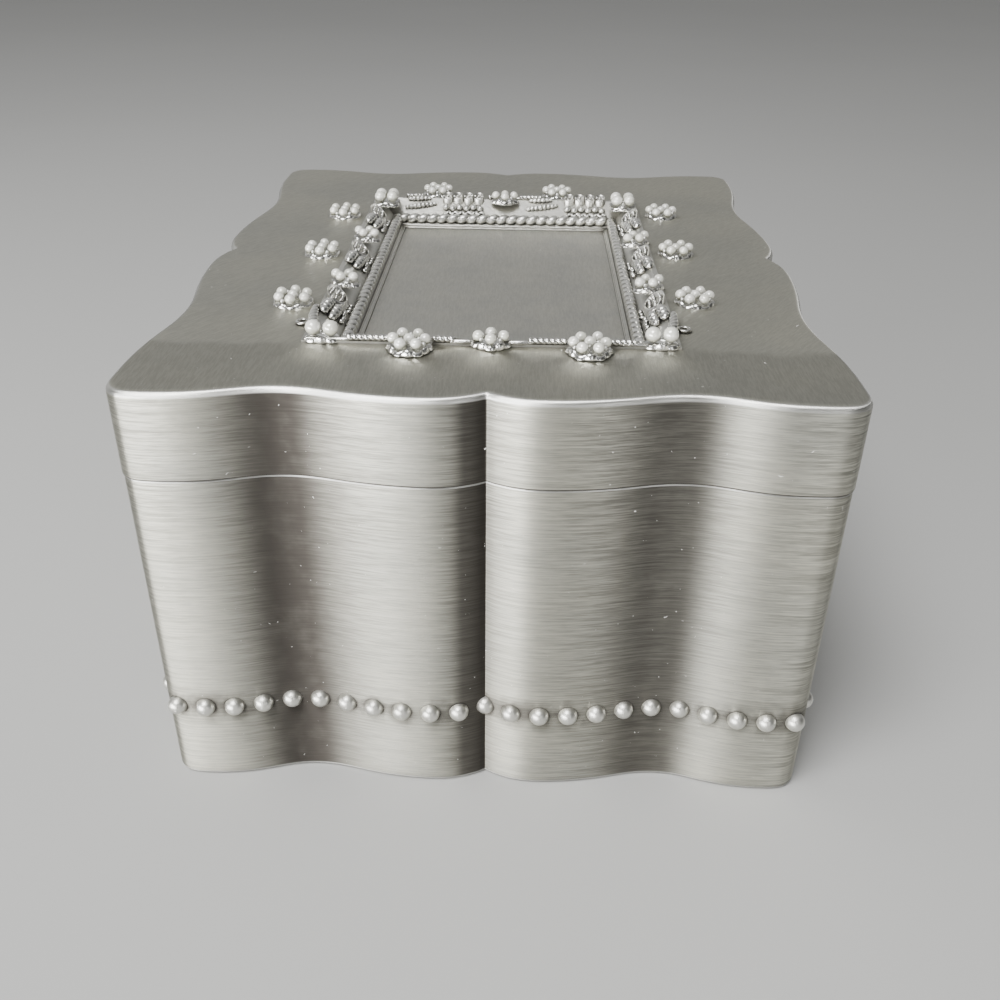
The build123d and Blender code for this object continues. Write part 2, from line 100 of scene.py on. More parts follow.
def math_of(tree, operation, *values, clamp=False):
    """The output of a Math node."""
    node = put(tree, "Math", dict(enumerate(values)), operation=operation, use_clamp=clamp)
    return node.outputs[0]


def product(tree, first, *others):
    """Values multiplied together."""
    for other in others:
        first = math_of(tree, "MULTIPLY", first, other)
    return first


def mixed(tree, share, first, second, blend="MIX"):
    """A colour between two others, by a share from 0 to 1."""
    sockets = {"Fac": share, "Color1": first, "Color2": second}
    return put(tree, "MixRGB", sockets, blend_type=blend).outputs[0]


def ranged(tree, value, low, high, to_low=0.0, to_high=1.0):
    """A value moved smoothly from one range to another, and held at its ends."""
    return put(
        tree, "MapRange",
        {"Value": value, "From Min": low, "From Max": high, "To Min": to_low, "To Max": to_high},
        interpolation_type="SMOOTHSTEP",
    ).outputs[0]


def cloudy(tree, spot, scale, detail, rough=0.5, swirl=0.0):
    """Cloudy noise over a place, from 0 to 1."""
    sockets = {"Vector": spot, "Scale": scale, "Detail": detail, "Roughness": rough, "Distortion": swirl}
    return put(tree, "TexNoise", sockets).outputs[0]


def feed(tree, shader, **values):
    """Links values to a shader's sockets."""
    for key, value in values.items():
        tree.links.new(value, shader.inputs[key.replace("_", " ")])


TABLE_RADIUS, TABLE_SIDES = 4.0, 64
TABLE_DARK, TABLE_PALE = (0.45, 0.45, 0.44, 1), (0.50, 0.50, 0.49, 1)
table_turns = [k * math.tau / TABLE_SIDES for k in range(TABLE_SIDES)]
table_mesh = bpy.data.meshes.new("table")
table_mesh.from_pydata(
    [(TABLE_RADIUS * math.cos(a), TABLE_RADIUS * math.sin(a), 0) for a in table_turns],
    [], [tuple(range(TABLE_SIDES))],
)
table = bpy.data.objects.new("table", table_mesh)
scene.collection.objects.link(table)
table_paint, tree, shader = start_material("table_paint", Roughness=0.85)
table_cloud = cloudy(tree, put(tree, "TexCoord").outputs["Object"], 3.0, 4.0)
feed(tree, shader, Base_Color=mixed(tree, table_cloud, TABLE_DARK, TABLE_PALE))
table_mesh.materials.append(table_paint)

room = bpy.data.worlds.new("room")
room.use_nodes = True
scene.world = room
tree = room.node_tree
room_side = put(tree, "TexCoord").outputs["Generated"]
room_x, room_y, room_z = put(tree, "SeparateXYZ", {0: room_side}).outputs
rear_glow = product(
    tree,
    ranged(tree, room_y, -0.1, 0.8),
    ranged(tree, room_z, 0.0, 0.35, 0.20, 0.32),
    ranged(tree, room_x, -0.62, -0.22, 2.0, 1.04),
    ranged(tree, room_x, 0.0, 0.6, 1.0, 0.84),
)
overhead_glow = ranged(tree, room_z, 0.5, 0.95, 0.0, 0.32)
left_glow = ranged(tree, room_x, -0.9, 0.6, 0.14, 0.06)
room_light = math_of(tree, "ADD", left_glow, math_of(tree, "ADD", rear_glow, overhead_glow))
room_blue = math_of(tree, "MULTIPLY", room_light, 0.99)
room_tone = put(tree, "CombineColor", {0: room_light, 1: room_light, 2: room_blue}).outputs[0]
tree.links.new(room_tone, tree.nodes["Background"].inputs["Color"])


def window(name, place, aim, wide, high, watts):
    """A soft rectangular lamp at a place, turned to face its aim."""
    lamp = bpy.data.lights.new(name, "AREA")
    lamp.shape = "RECTANGLE"
    lamp.size, lamp.size_y, lamp.energy = wide, high, watts
    holder = bpy.data.objects.new(name, lamp)
    holder.location = place
    holder.rotation_mode = "QUATERNION"
    holder.rotation_quaternion = (Vector(aim) - Vector(place)).to_track_quat("-Z", "Y")
    holder.visible_camera = False
    scene.collection.objects.link(holder)


BOX_MIDDLE = (0, 0, 0.04)
window("window_left", (-0.62, -0.72, 0.12), BOX_MIDDLE, 0.92, 0.18, 16.8)
window("window_right", (0.16, -0.36, 0.13), BOX_MIDDLE, 0.10, 0.14, 0.13)
window("lamp_above", (-0.19, -0.33, 0.70), (0, 0, 0.06), 0.34, 0.34, 7.0)

# ---- box shell ----------------------------------------------------------------------------------
# The deep lower casting, of antiqued pewter. Its outside is brushed level round the walls, waxed
# dark in the hollows and along the row of beads, and bright where hands have worn its edges. Part
# of its tone is painted light: its metal is painted brighter towards the right, the wax in the
# hollows is partly painted shade and darkens the flanks that turn right, a painted shadow lies at
# the lower right of each bead, and the worn lip under the seam is also a painted highlight.
EASY_STEP, EASINGS = 0.5, 24
CORNER_TURN, TIGHT_TURN, CORNER_REACH = 0.35, 0.12, 4.0


def outline_at(node, height):
    """Points of a frame piece's outer edge at a height in millimetres, in order round the middle."""
    seen = {}
    for corner in nodes[node].data.vertices:
        if abs(corner.co.z - height * MM) < 2e-6:
            seen[round(corner.co.x, 6), round(corner.co.y, 6)] = corner.co.xy.to_3d() / MM
    return sorted(seen.values(), key=lambda p: math.atan2(p.y, p.x))


def eased(points):
    """A closed line through points, evenly stepped, with its curves eased into each other."""
    count = len(points)
    fine, sharp = [], []
    for i, here in enumerate(points):
        before, after, beyond = points[i - 1], points[(i + 1) % count], points[(i + 2) % count]
        onward = (after - here).normalized()
        start, stop = (after - before).normalized(), (beyond - here).normalized()
        if (after - here).angle(here - before) > CORNER_TURN:
            sharp.append(here)
            start = onward
        if (beyond - after).angle(after - here) > CORNER_TURN:
            stop = onward
        reach = (after - here).length
        pieces = max(1, round(reach / EASY_STEP))
        for k in range(pieces):
            t = k / pieces
            fine.append(
                here * (2 * t**3 - 3 * t**2 + 1) + start * reach * (t**3 - 2 * t**2 + t)
                + after * (3 * t**2 - 2 * t**3) + stop * reach * (t**3 - t**2)
            )
    line = np.array(fine)
    room = np.full(len(line), 9.0)
    for corner in sharp:
        room = np.minimum(room, np.linalg.norm(line - np.array(corner), axis=1))
    ahead = np.roll(line, -1, axis=0) - line
    bearing = np.unwrap(np.arctan2(ahead[:, 1], ahead[:, 0]))
    bent = np.abs(np.angle(np.exp(1j * np.diff(bearing, prepend=0)))) / EASY_STEP > TIGHT_TURN
    tight = np.convolve(np.r_[bent[-8:], bent, bent[:8]], np.ones(9), "same")[8:-8] > 0
    share = (0.5 * np.clip(room / CORNER_REACH, 0, 1) * np.where(tight, 0.1, 1.0))[:, None]
    for _ in range(EASINGS):
        line = line + share * ((np.roll(line, 1, axis=0) + np.roll(line, -1, axis=0)) / 2 - line)
    return [Vector(p) for p in line]


def ring(line, inset, height):
    """The line moved this far in, at a height."""
    row = []
    for i, here in enumerate(line):
        along = (line[(i + 1) % len(line)] - line[i - 1]).normalized()
        row.append(here + Vector((-along.y, along.x, 0)) * inset + Vector((0, 0, height)))
    return row


def rounded(line, inset, height, radius, first, last, steps=5):
    """Rings round an edge: the rounding's middle is at inset and height, angles from level."""
    rows = []
    for k in range(steps + 1):
        angle = math.radians(first + (last - first) * k / steps)
        rows.append(ring(line, inset - radius * math.cos(angle), height + radius * math.sin(angle)))
    return rows


def walls(line, inset, low, high, step):
    """Rings up or down a wall, without its ends."""
    count = max(1, round(abs(high - low) / step))
    return [ring(line, inset, low + (high - low) * k / count) for k in range(1, count)]


class Form:
    """A piece's points, in millimetres, and faces, while it is being shaped."""

    def __init__(self):
        self.points, self.faces = [], []

    def skin(self, rows, around=True, closed=False, first=None, last=None):
        """Faces over rows of points; first and last are points that close its ends."""
        base, wide = len(self.points), len(rows[0])
        for row in rows:
            self.points.extend(row)
        bands = len(rows) if closed else len(rows) - 1
        for r in range(bands):
            low, high = base + r * wide, base + (r + 1) % len(rows) * wide
            for i in range(wide if around else wide - 1):
                j = (i + 1) % wide
                self.faces.append((low + i, low + j, high + j, high + i))
        for point, start, turn in ((first, base, -1), (last, base + (len(rows) - 1) * wide, 1)):
            if point is None:
                continue
            self.points.append(point)
            tip = len(self.points) - 1
            for i in range(wide):
                j = (i + 1) % wide
                self.faces.append((start + i, start + j, tip)[::turn])

    def made(self, name, body, slot_name, material, sharp=70):
        """The finished piece, riding on its body."""
        mesh = bpy.data.meshes.new(name)
        mesh.from_pydata([tuple(p * MM) for p in self.points], [], self.faces)
        mesh.polygons.foreach_set("use_smooth", [True] * len(mesh.polygons))
        mesh.set_sharp_from_angle(angle=math.radians(sharp))
        mesh.materials.append(material)
        piece = bpy.data.objects.new(name, mesh)
        scene.collection.objects.link(piece)
        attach(piece, body)
        return piece


HINGE_PLACES = (Vector((-41, 62.55, 54.2)), Vector((41, 62.55, 54.2)))
BARREL_ROOM, LEAF_ROOM, LEAF_HALF = 1.7, 1.2, 6.22
BARREL_TURNS = [k * math.tau / 32 for k in range(32)]
BARREL = [(BARREL_ROOM * math.cos(a), BARREL_ROOM * math.sin(a)) for a in BARREL_TURNS]
TONGUES = [(-3.85, -LEAF_ROOM), (0.9, -LEAF_ROOM), (0.9, LEAF_ROOM), (-3.85, LEAF_ROOM)]


def cut_hinge_room(piece, profiles, half_length):
    """Cuts prisms along both hinge pins out of a piece; a profile is places behind and above a pin."""
    for place in HINGE_PLACES:
        for profile in profiles:
            ends = [
                [place + Vector((side * half_length, behind, above)) for behind, above in profile]
                for side in (-1, 1)
            ]
            middles = [sum(end, Vector()) / len(end) for end in ends]
            room = Form()
            room.skin(ends, first=middles[0], last=middles[1])
            mesh = bpy.data.meshes.new("hinge_room")
            mesh.from_pydata([tuple(p * MM) for p in room.points], [], room.faces)
            cutter = bpy.data.objects.new("hinge_room", mesh)
            scene.collection.objects.link(cutter)
            cut = piece.modifiers.new("hinge_room", "BOOLEAN")
            cut.operation, cut.solver, cut.object = "DIFFERENCE", "MANIFOLD", cutter
            bpy.context.view_layer.update()
            graph = bpy.context.evaluated_depsgraph_get()
            piece.data = bpy.data.meshes.new_from_object(piece.evaluated_get(graph))
            piece.modifiers.clear()
            bpy.data.objects.remove(cutter)
    piece.data.set_sharp_from_angle(angle=math.radians(70))


def new_group(name, sockets, results):
    """A shader group with these inputs and outputs, each a name and a socket kind."""
    group = bpy.data.node_groups.new(name, "ShaderNodeTree")
    for title, kind in sockets:
        group.interface.new_socket(title, in_out="INPUT", socket_type="NodeSocket" + kind)
    for title, kind in results:
        group.interface.new_socket(title, in_out="OUTPUT", socket_type="NodeSocket" + kind)
    return group, group.nodes.new("NodeGroupInput").outputs, group.nodes.new("NodeGroupOutput").inputs


def use_group(tree, group, **sockets):
    """Places a group in a tree and gives its outputs."""
    node = tree.nodes.new("ShaderNodeGroup")
    node.node_tree = group
    for key, value in sockets.items():
        socket = node.inputs[key.replace("_", " ")]
        if isinstance(value, bpy.types.NodeSocket):
            tree.links.new(value, socket)
        else:
            socket.default_value = value
    return node.outputs


def stretched(tree, spot, scale):
    """A place in millimetres, scaled along each axis."""
    return put(tree, "VectorMath", {0: spot, 1: scale}, operation="MULTIPLY").outputs[0]


def most(tree, first, *others):
    """The largest of several values."""
    for other in others:
        first = math_of(tree, "MAXIMUM", first, other)
    return first


def wandered(tree, spot, scale, detail, reach):
    """A place that strays to all sides by noise."""
    bend = put(tree, "TexNoise", {"Vector": spot, "Scale": scale, "Detail": detail}).outputs[1]
    sockets = {0: bend, 1: (reach, reach, reach), 2: spot}
    return put(tree, "VectorMath", sockets, operation="MULTIPLY_ADD").outputs[0]


# Brushing: fine lines that run where the place is scaled small, in two widths.
brushing, given, result = new_group("brushing", [("Place", "Vector")], [("Lines", "Float")])
coarse = cloudy(brushing, given["Place"], 1.0, 3.0, 0.62)
fine = cloudy(brushing, given["Place"], 2.9, 2.0, 0.7)
both = math_of(brushing, "ADD", coarse, math_of(brushing, "MULTIPLY", fine, 0.8))
brushing.links.new(ranged(brushing, both, 0.62, 1.18), result["Lines"])

# Dust: sparse pale specks and short lint, on places given in millimetres.
dust, given, result = new_group("dust", [("Place", "Vector"), ("Amount", "Float")], [("Mask", "Float")])


def scattered(place, scale, fewest, largest, channel):
    """A mask of spots at random places; the share below fewest is left out."""
    cells = put(dust, "TexVoronoi", {"Vector": place, "Scale": scale}).outputs
    chance = put(dust, "SeparateColor", {0: cells["Color"]}).outputs[channel]
    size = ranged(dust, chance, fewest, 1.0, 0.0, largest)
    return math_of(dust, "LESS_THAN", cells["Distance"], size)


lint_stray = wandered(dust, given["Place"], 0.35, 2.0, 6)
lint_turn, lint_stretch = (0.5, 0.35, 0.7), (0.20, 1.1, 1.1)
lint_sockets = {"Vector": lint_stray, "Rotation": lint_turn, "Scale": lint_stretch}
lint_place = put(dust, "Mapping", lint_sockets).outputs[0]
specks = scattered(given["Place"], 0.72, 0.35, 0.06, 0)
lint = scattered(lint_place, 1.0, 0.60, 0.085, 1)
dust.links.new(product(dust, most(dust, specks, lint), given["Amount"]), result["Mask"])

# Pewter tone: bright metal, darkened by wax in the hollows, lighter on worn edges, dusted on top.
# Some pieces also feed painted shade in as wax and painted highlights in as wear.
pewter_tone, given, result = new_group(
    "pewter_tone",
    [("Lines", "Float"), ("Cloud", "Float"), ("Wax", "Float"), ("Wear", "Float"), ("Dust", "Float"),
     ("Metal", "Color"), ("Wax Colour", "Color")],
    [("Colour", "Color"), ("Roughness", "Float"), ("Metallic", "Float")],
)
CLOUD_DARK, CLOUD_PALE = (0.90, 0.90, 0.90, 1), (1, 0.99, 0.965, 1)
LINE_DARK, LINE_PALE = (0.60, 0.60, 0.60, 1), (1.08, 1.08, 1.08, 1)
WORN_PEWTER, DUST_GREY = (0.86, 0.855, 0.82, 1), (0.85, 0.84, 0.80, 1)
clouded = mixed(pewter_tone, ranged(pewter_tone, given["Cloud"], 0.3, 0.7), CLOUD_DARK, CLOUD_PALE)
lined = mixed(pewter_tone, given["Lines"], LINE_DARK, LINE_PALE)
metal = mixed(pewter_tone, 1.0, given["Metal"], clouded, "MULTIPLY")
metal = mixed(pewter_tone, 1.0, metal, lined, "MULTIPLY")
waxed = mixed(pewter_tone, given["Wax"], metal, given["Wax Colour"])
worn = mixed(pewter_tone, given["Wear"], waxed, WORN_PEWTER)
rough = ranged(pewter_tone, given["Lines"], 0.0, 1.0, 0.54, 0.38)
rough = math_of(pewter_tone, "MULTIPLY_ADD", given["Wax"], 0.12, rough)
rough = math_of(pewter_tone, "MULTIPLY_ADD", given["Wear"], -0.06, rough)
rough = math_of(pewter_tone, "MULTIPLY_ADD", given["Dust"], 0.4, rough, clamp=True)
metallic = math_of(pewter_tone, "SUBTRACT", 1.0, given["Dust"])
metallic = math_of(pewter_tone, "MULTIPLY_ADD", given["Wax"], -0.12, metallic, clamp=True)
pewter_tone.links.new(mixed(pewter_tone, given["Dust"], worn, DUST_GREY), result["Colour"])
pewter_tone.links.new(rough, result["Roughness"])
pewter_tone.links.new(metallic, result["Metallic"])


def place_in_mm(tree):
    """The place on the piece in millimetres, and its surface's direction, both turning with it."""
    held = put(tree, "TexCoord").outputs
    return stretched(tree, held["Object"], (1000, 1000, 1000)), held["Normal"]


def bumped(tree, height, distance, strength=1.0, normal=None):
    """A normal bent by a height from 0 to 1, that is this many metres deep."""
    sockets = {"Height": height, "Distance": distance, "Strength": strength}
    if normal:
        sockets["Normal"] = normal
    return put(tree, "Bump", sockets).outputs[0]


def openness(tree, reach, samples=6, normal=None):
    """How open a surface lies, from 0 in a crevice to 1, looking as far as a reach in metres."""
    sockets = {"Distance": reach}
    if normal:
        sockets["Normal"] = normal
    return put(tree, "AmbientOcclusion", sockets, samples=samples).outputs["AO"]


def brushed(tree, spot, scale):
    """Brushed lines over a place, with its axes scaled."""
    return use_group(tree, brushing, Place=stretched(tree, spot, scale))["Lines"]


def dusted(tree, spot, amount):
    """The mask of the dust on a piece."""
    return use_group(tree, dust, Place=spot, Amount=amount)["Mask"]


def away(tree, value, middle=0.0):
    """How far a value lies from a middle."""
    return math_of(tree, "ABSOLUTE", math_of(tree, "SUBTRACT", value, middle))


def part_of(tree, direction, axis):
    """One part of a direction: 0 is rightward, 1 rearward and 2 upward."""
    return put(tree, "SeparateXYZ", {0: direction}).outputs[axis]


def in_room(tree, direction, kind="VECTOR"):
    """A direction on a piece, as it points in the room."""
    settings = {"vector_type": kind, "convert_from": "OBJECT", "convert_to": "WORLD"}
    return put(tree, "VectorTransform", {0: direction}, **settings).outputs[0]


def coat(tree, shader, tone, bump, polish=1.0, **more):
    """Gives a shader a pewter tone and a bump; polish scales its roughness."""
    rough = math_of(tree, "MULTIPLY", tone["Roughness"], polish)
    feed(tree, shader, Base_Color=tone["Colour"], Metallic=tone["Metallic"])
    feed(tree, shader, Roughness=rough, Normal=bump, **more)


def give(node, material):
    """Puts a finish on a piece of the frame."""
    node.data.materials.clear()
    node.data.materials.append(material)


PEWTER = (0.655, 0.648, 0.572, 1)
# The walls' metal goes from dull pewter to a brighter one towards the right: painted light.
DULL_PEWTER, PAINTED_LIGHT_PEWTER = (0.615, 0.608, 0.537, 1), (0.75, 0.742, 0.655, 1)
WAX = (0.070, 0.063, 0.055, 1)
LEVEL_LINES = (0.10, 0.10, 3.2)
CREST_X, CREST_Y, NOTCH_X = 49.9, 62.1, -4.0
SEAM, BEAD_LINE = 54.2, 14.5
# A tilt towards the upper left, for the painted shadow beside the beads.
SHADOW_TILT = (-0.9, 0, 0.9)


def wall_metal_painted_light(tree, x):
    """The walls' bare metal, with painted light: it is painted brighter towards the right."""
    return mixed(tree, ranged(tree, x, 17, 35), DULL_PEWTER, PAINTED_LIGHT_PEWTER)


def hollow_wax_and_shade(tree, x, y, smudge, facing):
    """Wax in the hollows between the lobes, partly patina and partly painted shade: it is weaker where
    the wall turns left and in the right hollows. Painted shade also darkens flanks that turn right, most
    near the notch.
    """
    front_depth = math_of(tree, "SUBTRACT", CREST_Y, away(tree, y))
    side_depth = math_of(tree, "SUBTRACT", CREST_X, away(tree, x))
    depth = math_of(tree, "MINIMUM", front_depth, side_depth)
    rightward = part_of(tree, facing, 0)
    # Wax in the hollows, weaker where the wall turns left and in the right hollows: patina and painted shade.
    hollow = product(
        tree,
        ranged(tree, depth, 0.4, 2.6),
        ranged(tree, smudge, 0.2, 0.6, 0.93, 1.0),
        ranged(tree, x, -2, 8, 1.0, 0.82),
        ranged(tree, rightward, -0.35, -0.05, 0.55, 1.0),
    )
    # Painted shade on flanks that turn right, strongest near the notch and none on the side walls.
    painted_flank_shade = product(
        tree,
        ranged(tree, depth, -0.4, 0.9),
        ranged(tree, rightward, -0.03, 0.34, 0.0, 0.86),
        ranged(tree, away(tree, x, NOTCH_X), 5, 13, 1.0, 0.3),
        ranged(tree, away(tree, x), 36, 42, 1.0, 0.0),
    )
    bare = math_of(tree, "SUBTRACT", 1.0, hollow)
    return math_of(tree, "MULTIPLY_ADD", painted_flank_shade, bare, hollow)


box_pewter, tree, shader = start_material("box_pewter", Anisotropic=0.9)
spot, facing = place_in_mm(tree)
x, y, z = put(tree, "SeparateXYZ", {0: spot}).outputs
lines = brushed(tree, spot, LEVEL_LINES)
smudge = cloudy(tree, spot, 0.3, 3.0)
from_beads = away(tree, z, BEAD_LINE)
bead_band = ranged(tree, from_beads, 0.8, 4.4, 0.66, 0.0)
bead_band = product(tree, bead_band, ranged(tree, smudge, 0.3, 0.62))
# Dark round the beads and in crevices: wax, and painted shade where the beads meet the wall.
crevice_wax_and_shade = ranged(tree, openness(tree, 0.0024), 0.35, 0.95, 0.75, 0.0)
# Painted shadow: the wall at the lower right of each bead is darkened, as if lit from the upper left.
tilted_to_light = put(tree, "VectorMath", {0: facing, 1: SHADOW_TILT}, operation="ADD").outputs[0]
bead_shadow_open = openness(tree, 0.0028, normal=in_room(tree, tilted_to_light, "NORMAL"))
painted_bead_shadow = ranged(tree, bead_shadow_open, 0.45, 0.85, 1.0, 0.0)
painted_bead_shadow = product(tree, painted_bead_shadow, ranged(tree, from_beads, 1.9, 3.2, 1.0, 0.0))
# This wax holds real wax together with the painted shade and painted shadow above.
wax = math_of(tree, "ADD", bead_band, crevice_wax_and_shade, clamp=True)
wax = most(tree, wax, painted_bead_shadow, hollow_wax_and_shade(tree, x, y, smudge, facing))
# A thin bright band on the lip's rounded edge under the seam: wear and a painted highlight.
above_wall = ranged(tree, z, SEAM - 0.34, SEAM - 0.22)
below_seam = ranged(tree, z, SEAM - 0.08, SEAM - 0.02, 1.0, 0.0)
lip = product(tree, above_wall, below_seam, 0.8)
downward = product(tree, part_of(tree, facing, 2), -1)
foot = product(tree, ranged(tree, downward, 0.1, 0.4), 0.5)
tone = use_group(
    tree, pewter_tone, Lines=lines, Cloud=cloudy(tree, spot, 0.05, 3.0), Wax=wax, Wear=most(tree, lip, foot),
    Dust=dusted(tree, spot, 0.8), Metal=wall_metal_painted_light(tree, x), Wax_Colour=WAX,
)
coat(tree, shader, tone, bumped(tree, lines, 0.00002, 0.6), Tangent=in_room(tree, (0, 0, 1)))

WALL, FLOOR_TOP, RECESS_TOP = 1.5, 2.7, 1.2
FOOT_ROUND, LIP_ROUND = 1.0, 0.25
box_line = eased(outline_at("box_body", FOOT_ROUND))
rows = [ring(box_line, 2.2, RECESS_TOP), ring(box_line, 2.2, 0.15), ring(box_line, 2.05, 0.0)]
rows += rounded(box_line, FOOT_ROUND, FOOT_ROUND, FOOT_ROUND, -90, 0, 6)
rows += walls(box_line, 0, FOOT_ROUND, SEAM - LIP_ROUND, 3.0)
rows += rounded(box_line, LIP_ROUND, SEAM - LIP_ROUND, LIP_ROUND, 0, 90, 3)
rows += [ring(box_line, 1.35, SEAM), ring(box_line, WALL, SEAM - 0.15)]
rows += walls(box_line, WALL, SEAM - 0.15, 2.9, 9.0)
rows += [ring(box_line, WALL, 2.9), ring(box_line, 1.7, FLOOR_TOP)]
shell = Form()
shell.skin(rows, first=Vector((0, 0, RECESS_TOP)), last=Vector((0, 0, FLOOR_TOP)))
box_shell = shell.made("box_shell", "box", "pewter", box_pewter)
cut_hinge_room(box_shell, (BARREL, TONGUES), LEAF_HALF)
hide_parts("box_body")

# ---- beads --------------------------------------------------------------------------------------
# Half balls of pewter soldered in a row round the walls, a little above the foot. They are worn
# bright all over, and the wax stays dark round the solder.
SIDES = ("front", "rear", "left", "right")
bead_pewter, tree, shader = start_material("bead_pewter")
spot, facing = place_in_mm(tree)
grit = cloudy(tree, spot, 3.0, 3.0, 0.65)
tone = use_group(
    tree, pewter_tone, Lines=grit, Cloud=cloudy(tree, spot, 0.6, 3.0),
    Wax=ranged(tree, openness(tree, 0.0014), 0.30, 0.85, 0.95, 0.0), Wear=0.55,
    Dust=0.0, Metal=PEWTER, Wax_Colour=WAX,
)
coat(tree, shader, tone, bumped(tree, grit, 0.00006, 0.5), 0.95)
for side in SIDES:
    give(nodes[f"beads_{side}"], bead_pewter)

# ---- lid shell ----------------------------------------------------------------------------------
# The shallow upper casting, of the same pewter. Its walls are brushed level like the box's, and its
# flat top is brushed from front to rear before the frame and slantwise beside it. Its walls carry the
# same painted light and painted shade as the box's, a painted shadow darkens its lower edge at the
# seam, and its worn rounded top edge is partly a painted highlight.
LID_TOP, TOP_ROUND, UNDER_ROUND = 67.4, 1.1, 0.22
FRAME_MIDDLE = Vector((0, -3.9, 0))
OPENING = (26.0, 39.4)
STRIP_END = -41.0
lid_pewter, tree, shader = start_material("lid_pewter", Anisotropic=0.9)
spot, facing = place_in_mm(tree)
x, y, z = put(tree, "SeparateXYZ", {0: spot}).outputs
up = part_of(tree, facing, 2)
top = ranged(tree, up, 0.45, 0.92)
strayed_y = math_of(tree, "MULTIPLY_ADD", cloudy(tree, spot, 0.12, 2.0), 5.0, y)
front_strip = ranged(tree, strayed_y, STRIP_END - 2.5, STRIP_END, 1.0, 0.0)
straight_lines = brushed(tree, spot, (3.6, 0.34, 0.1))
slanted_spot = put(tree, "Mapping", {"Vector": spot, "Rotation": (0, 0, 0.62)}).outputs[0]
slanted_lines = brushed(tree, slanted_spot, (3.4, 0.4, 0.1))
top_lines = ranged(tree, mixed(tree, front_strip, slanted_lines, straight_lines), 0.0, 1.0, 0.40, 0.66)
all_lines = mixed(tree, top, brushed(tree, spot, LEVEL_LINES), top_lines)
# The rounded top edge is brightened: wear and a painted highlight.
rim_wear_and_highlight = product(tree, ranged(tree, up, 0.10, 0.30), ranged(tree, up, 0.80, 0.97, 1.0, 0.0))
not_top = ranged(tree, up, 0.1, 0.6, 1.0, 0.0)
smudge = cloudy(tree, spot, 0.3, 3.0)
# The lid's wax: wax in crevices, a painted shadow at the seam, the hollow wax and painted shade of the walls,
# and a slightly darker front strip on top.
wax = most(
    tree,
    ranged(tree, openness(tree, 0.0016), 0.3, 0.95, 0.8, 0.0),
    # A dark band on the lid's lower edge at the seam: painted shadow.
    ranged(tree, z, SEAM + 0.20, SEAM + 0.30, 0.95, 0.0),
    product(tree, not_top, hollow_wax_and_shade(tree, x, y, smudge, facing)),
    product(tree, top, front_strip, 0.05),
)
tone = use_group(
    tree, pewter_tone, Lines=all_lines, Cloud=cloudy(tree, spot, 0.05, 3.0), Wax=wax,
    Wear=product(tree, rim_wear_and_highlight, 0.8), Dust=dusted(tree, spot, 0.9),
    Metal=mixed(tree, top, wall_metal_painted_light(tree, x), PEWTER), Wax_Colour=WAX,
)
top_across = mixed(tree, front_strip, (0.81, 0.58, 0, 1), (1, 0, 0, 1))
across_lines = in_room(tree, mixed(tree, top, (0, 0, 1, 1), top_across))
coat(tree, shader, tone, bumped(tree, all_lines, 0.00002, 0.6), Tangent=across_lines)
lid_line = eased(outline_at("lid_shell", LID_TOP - TOP_ROUND))


def towards_opening(row, share):
    """A row of points moved a share of the way to the frame's opening in the lid."""
    moved = []
    for point in row:
        ray = Vector((point.x, point.y, 0)) - FRAME_MIDDLE
        reach = min(half / max(abs(part), 1e-6) for half, part in zip(OPENING, ray))
        edge = FRAME_MIDDLE + ray * reach + Vector((0, 0, point.z))
        moved.append(point.lerp(edge, share))
    return moved


top_row, ceiling = ring(lid_line, 1.25, LID_TOP), ring(lid_line, 1.65, LID_TOP - WALL)
rows = [towards_opening(top_row, k / 8) for k in range(8, -1, -1)]
rows += rounded(lid_line, TOP_ROUND, LID_TOP - TOP_ROUND, TOP_ROUND, 90, 0, 7)
rows += walls(lid_line, 0, LID_TOP - TOP_ROUND, SEAM + UNDER_ROUND, 2.4)
rows += rounded(lid_line, UNDER_ROUND, SEAM + UNDER_ROUND, UNDER_ROUND, 0, -90, 3)
rows += [ring(lid_line, 1.35, SEAM), ring(lid_line, WALL, SEAM + 0.15)]
rows += walls(lid_line, WALL, SEAM + 0.15, LID_TOP - 1.65, 6.0) + [ring(lid_line, WALL, LID_TOP - 1.65)]
rows += [towards_opening(ceiling, k / 3) for k in range(4)]
shell = Form()
shell.skin([row[::-1] for row in rows], closed=True)
lid_casting = shell.made("lid_casting", "lid", "pewter", lid_pewter)
cut_hinge_room(lid_casting, (BARREL, TONGUES), LEAF_HALF)
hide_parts("lid_shell")

# ---- centre plate -------------------------------------------------------------------------------
# A plain pewter plate at the bottom of the frame, where a picture may lie. It is finely brushed from
# front to rear, and blotched with old polish.
PLATE_METAL = (0.635, 0.63, 0.585, 1)
plate_pewter, tree, shader = start_material("plate_pewter")
spot, facing = place_in_mm(tree)
lines = ranged(tree, brushed(tree, spot, (3.2, 0.4, 0.1)), 0.0, 1.0, 0.45, 0.68)
# The plate is darkened towards the frame's bevel round it, where shade falls: painted shade.
tone = use_group(
    tree, pewter_tone, Lines=lines, Cloud=cloudy(tree, spot, 0.14, 5.0, 0.6),
    Wax=ranged(tree, openness(tree, 0.004), 0.3, 0.9, 0.6, 0.0), Wear=0.0,
    Dust=dusted(tree, spot, 0.9), Metal=PLATE_METAL, Wax_Colour=WAX,
)
coat(tree, shader, tone, bumped(tree, lines, 0.00001, 0.5))
give(nodes["centre_plate"], plate_pewter)

# ---- frame rails --------------------------------------------------------------------------------
# Four cast rails, mitred at the corners and sunk in the lid. Each slopes down from a thin lip to a
# bevel over the plate. They are antiqued: dark wax in every hollow, bright metal on every height.
# The dark in the hollows is partly painted shade, as beside the ropes and round the leaves.
CAST_METAL, CAST_WAX = (0.74, 0.735, 0.68, 1), (0.10, 0.095, 0.08, 1)


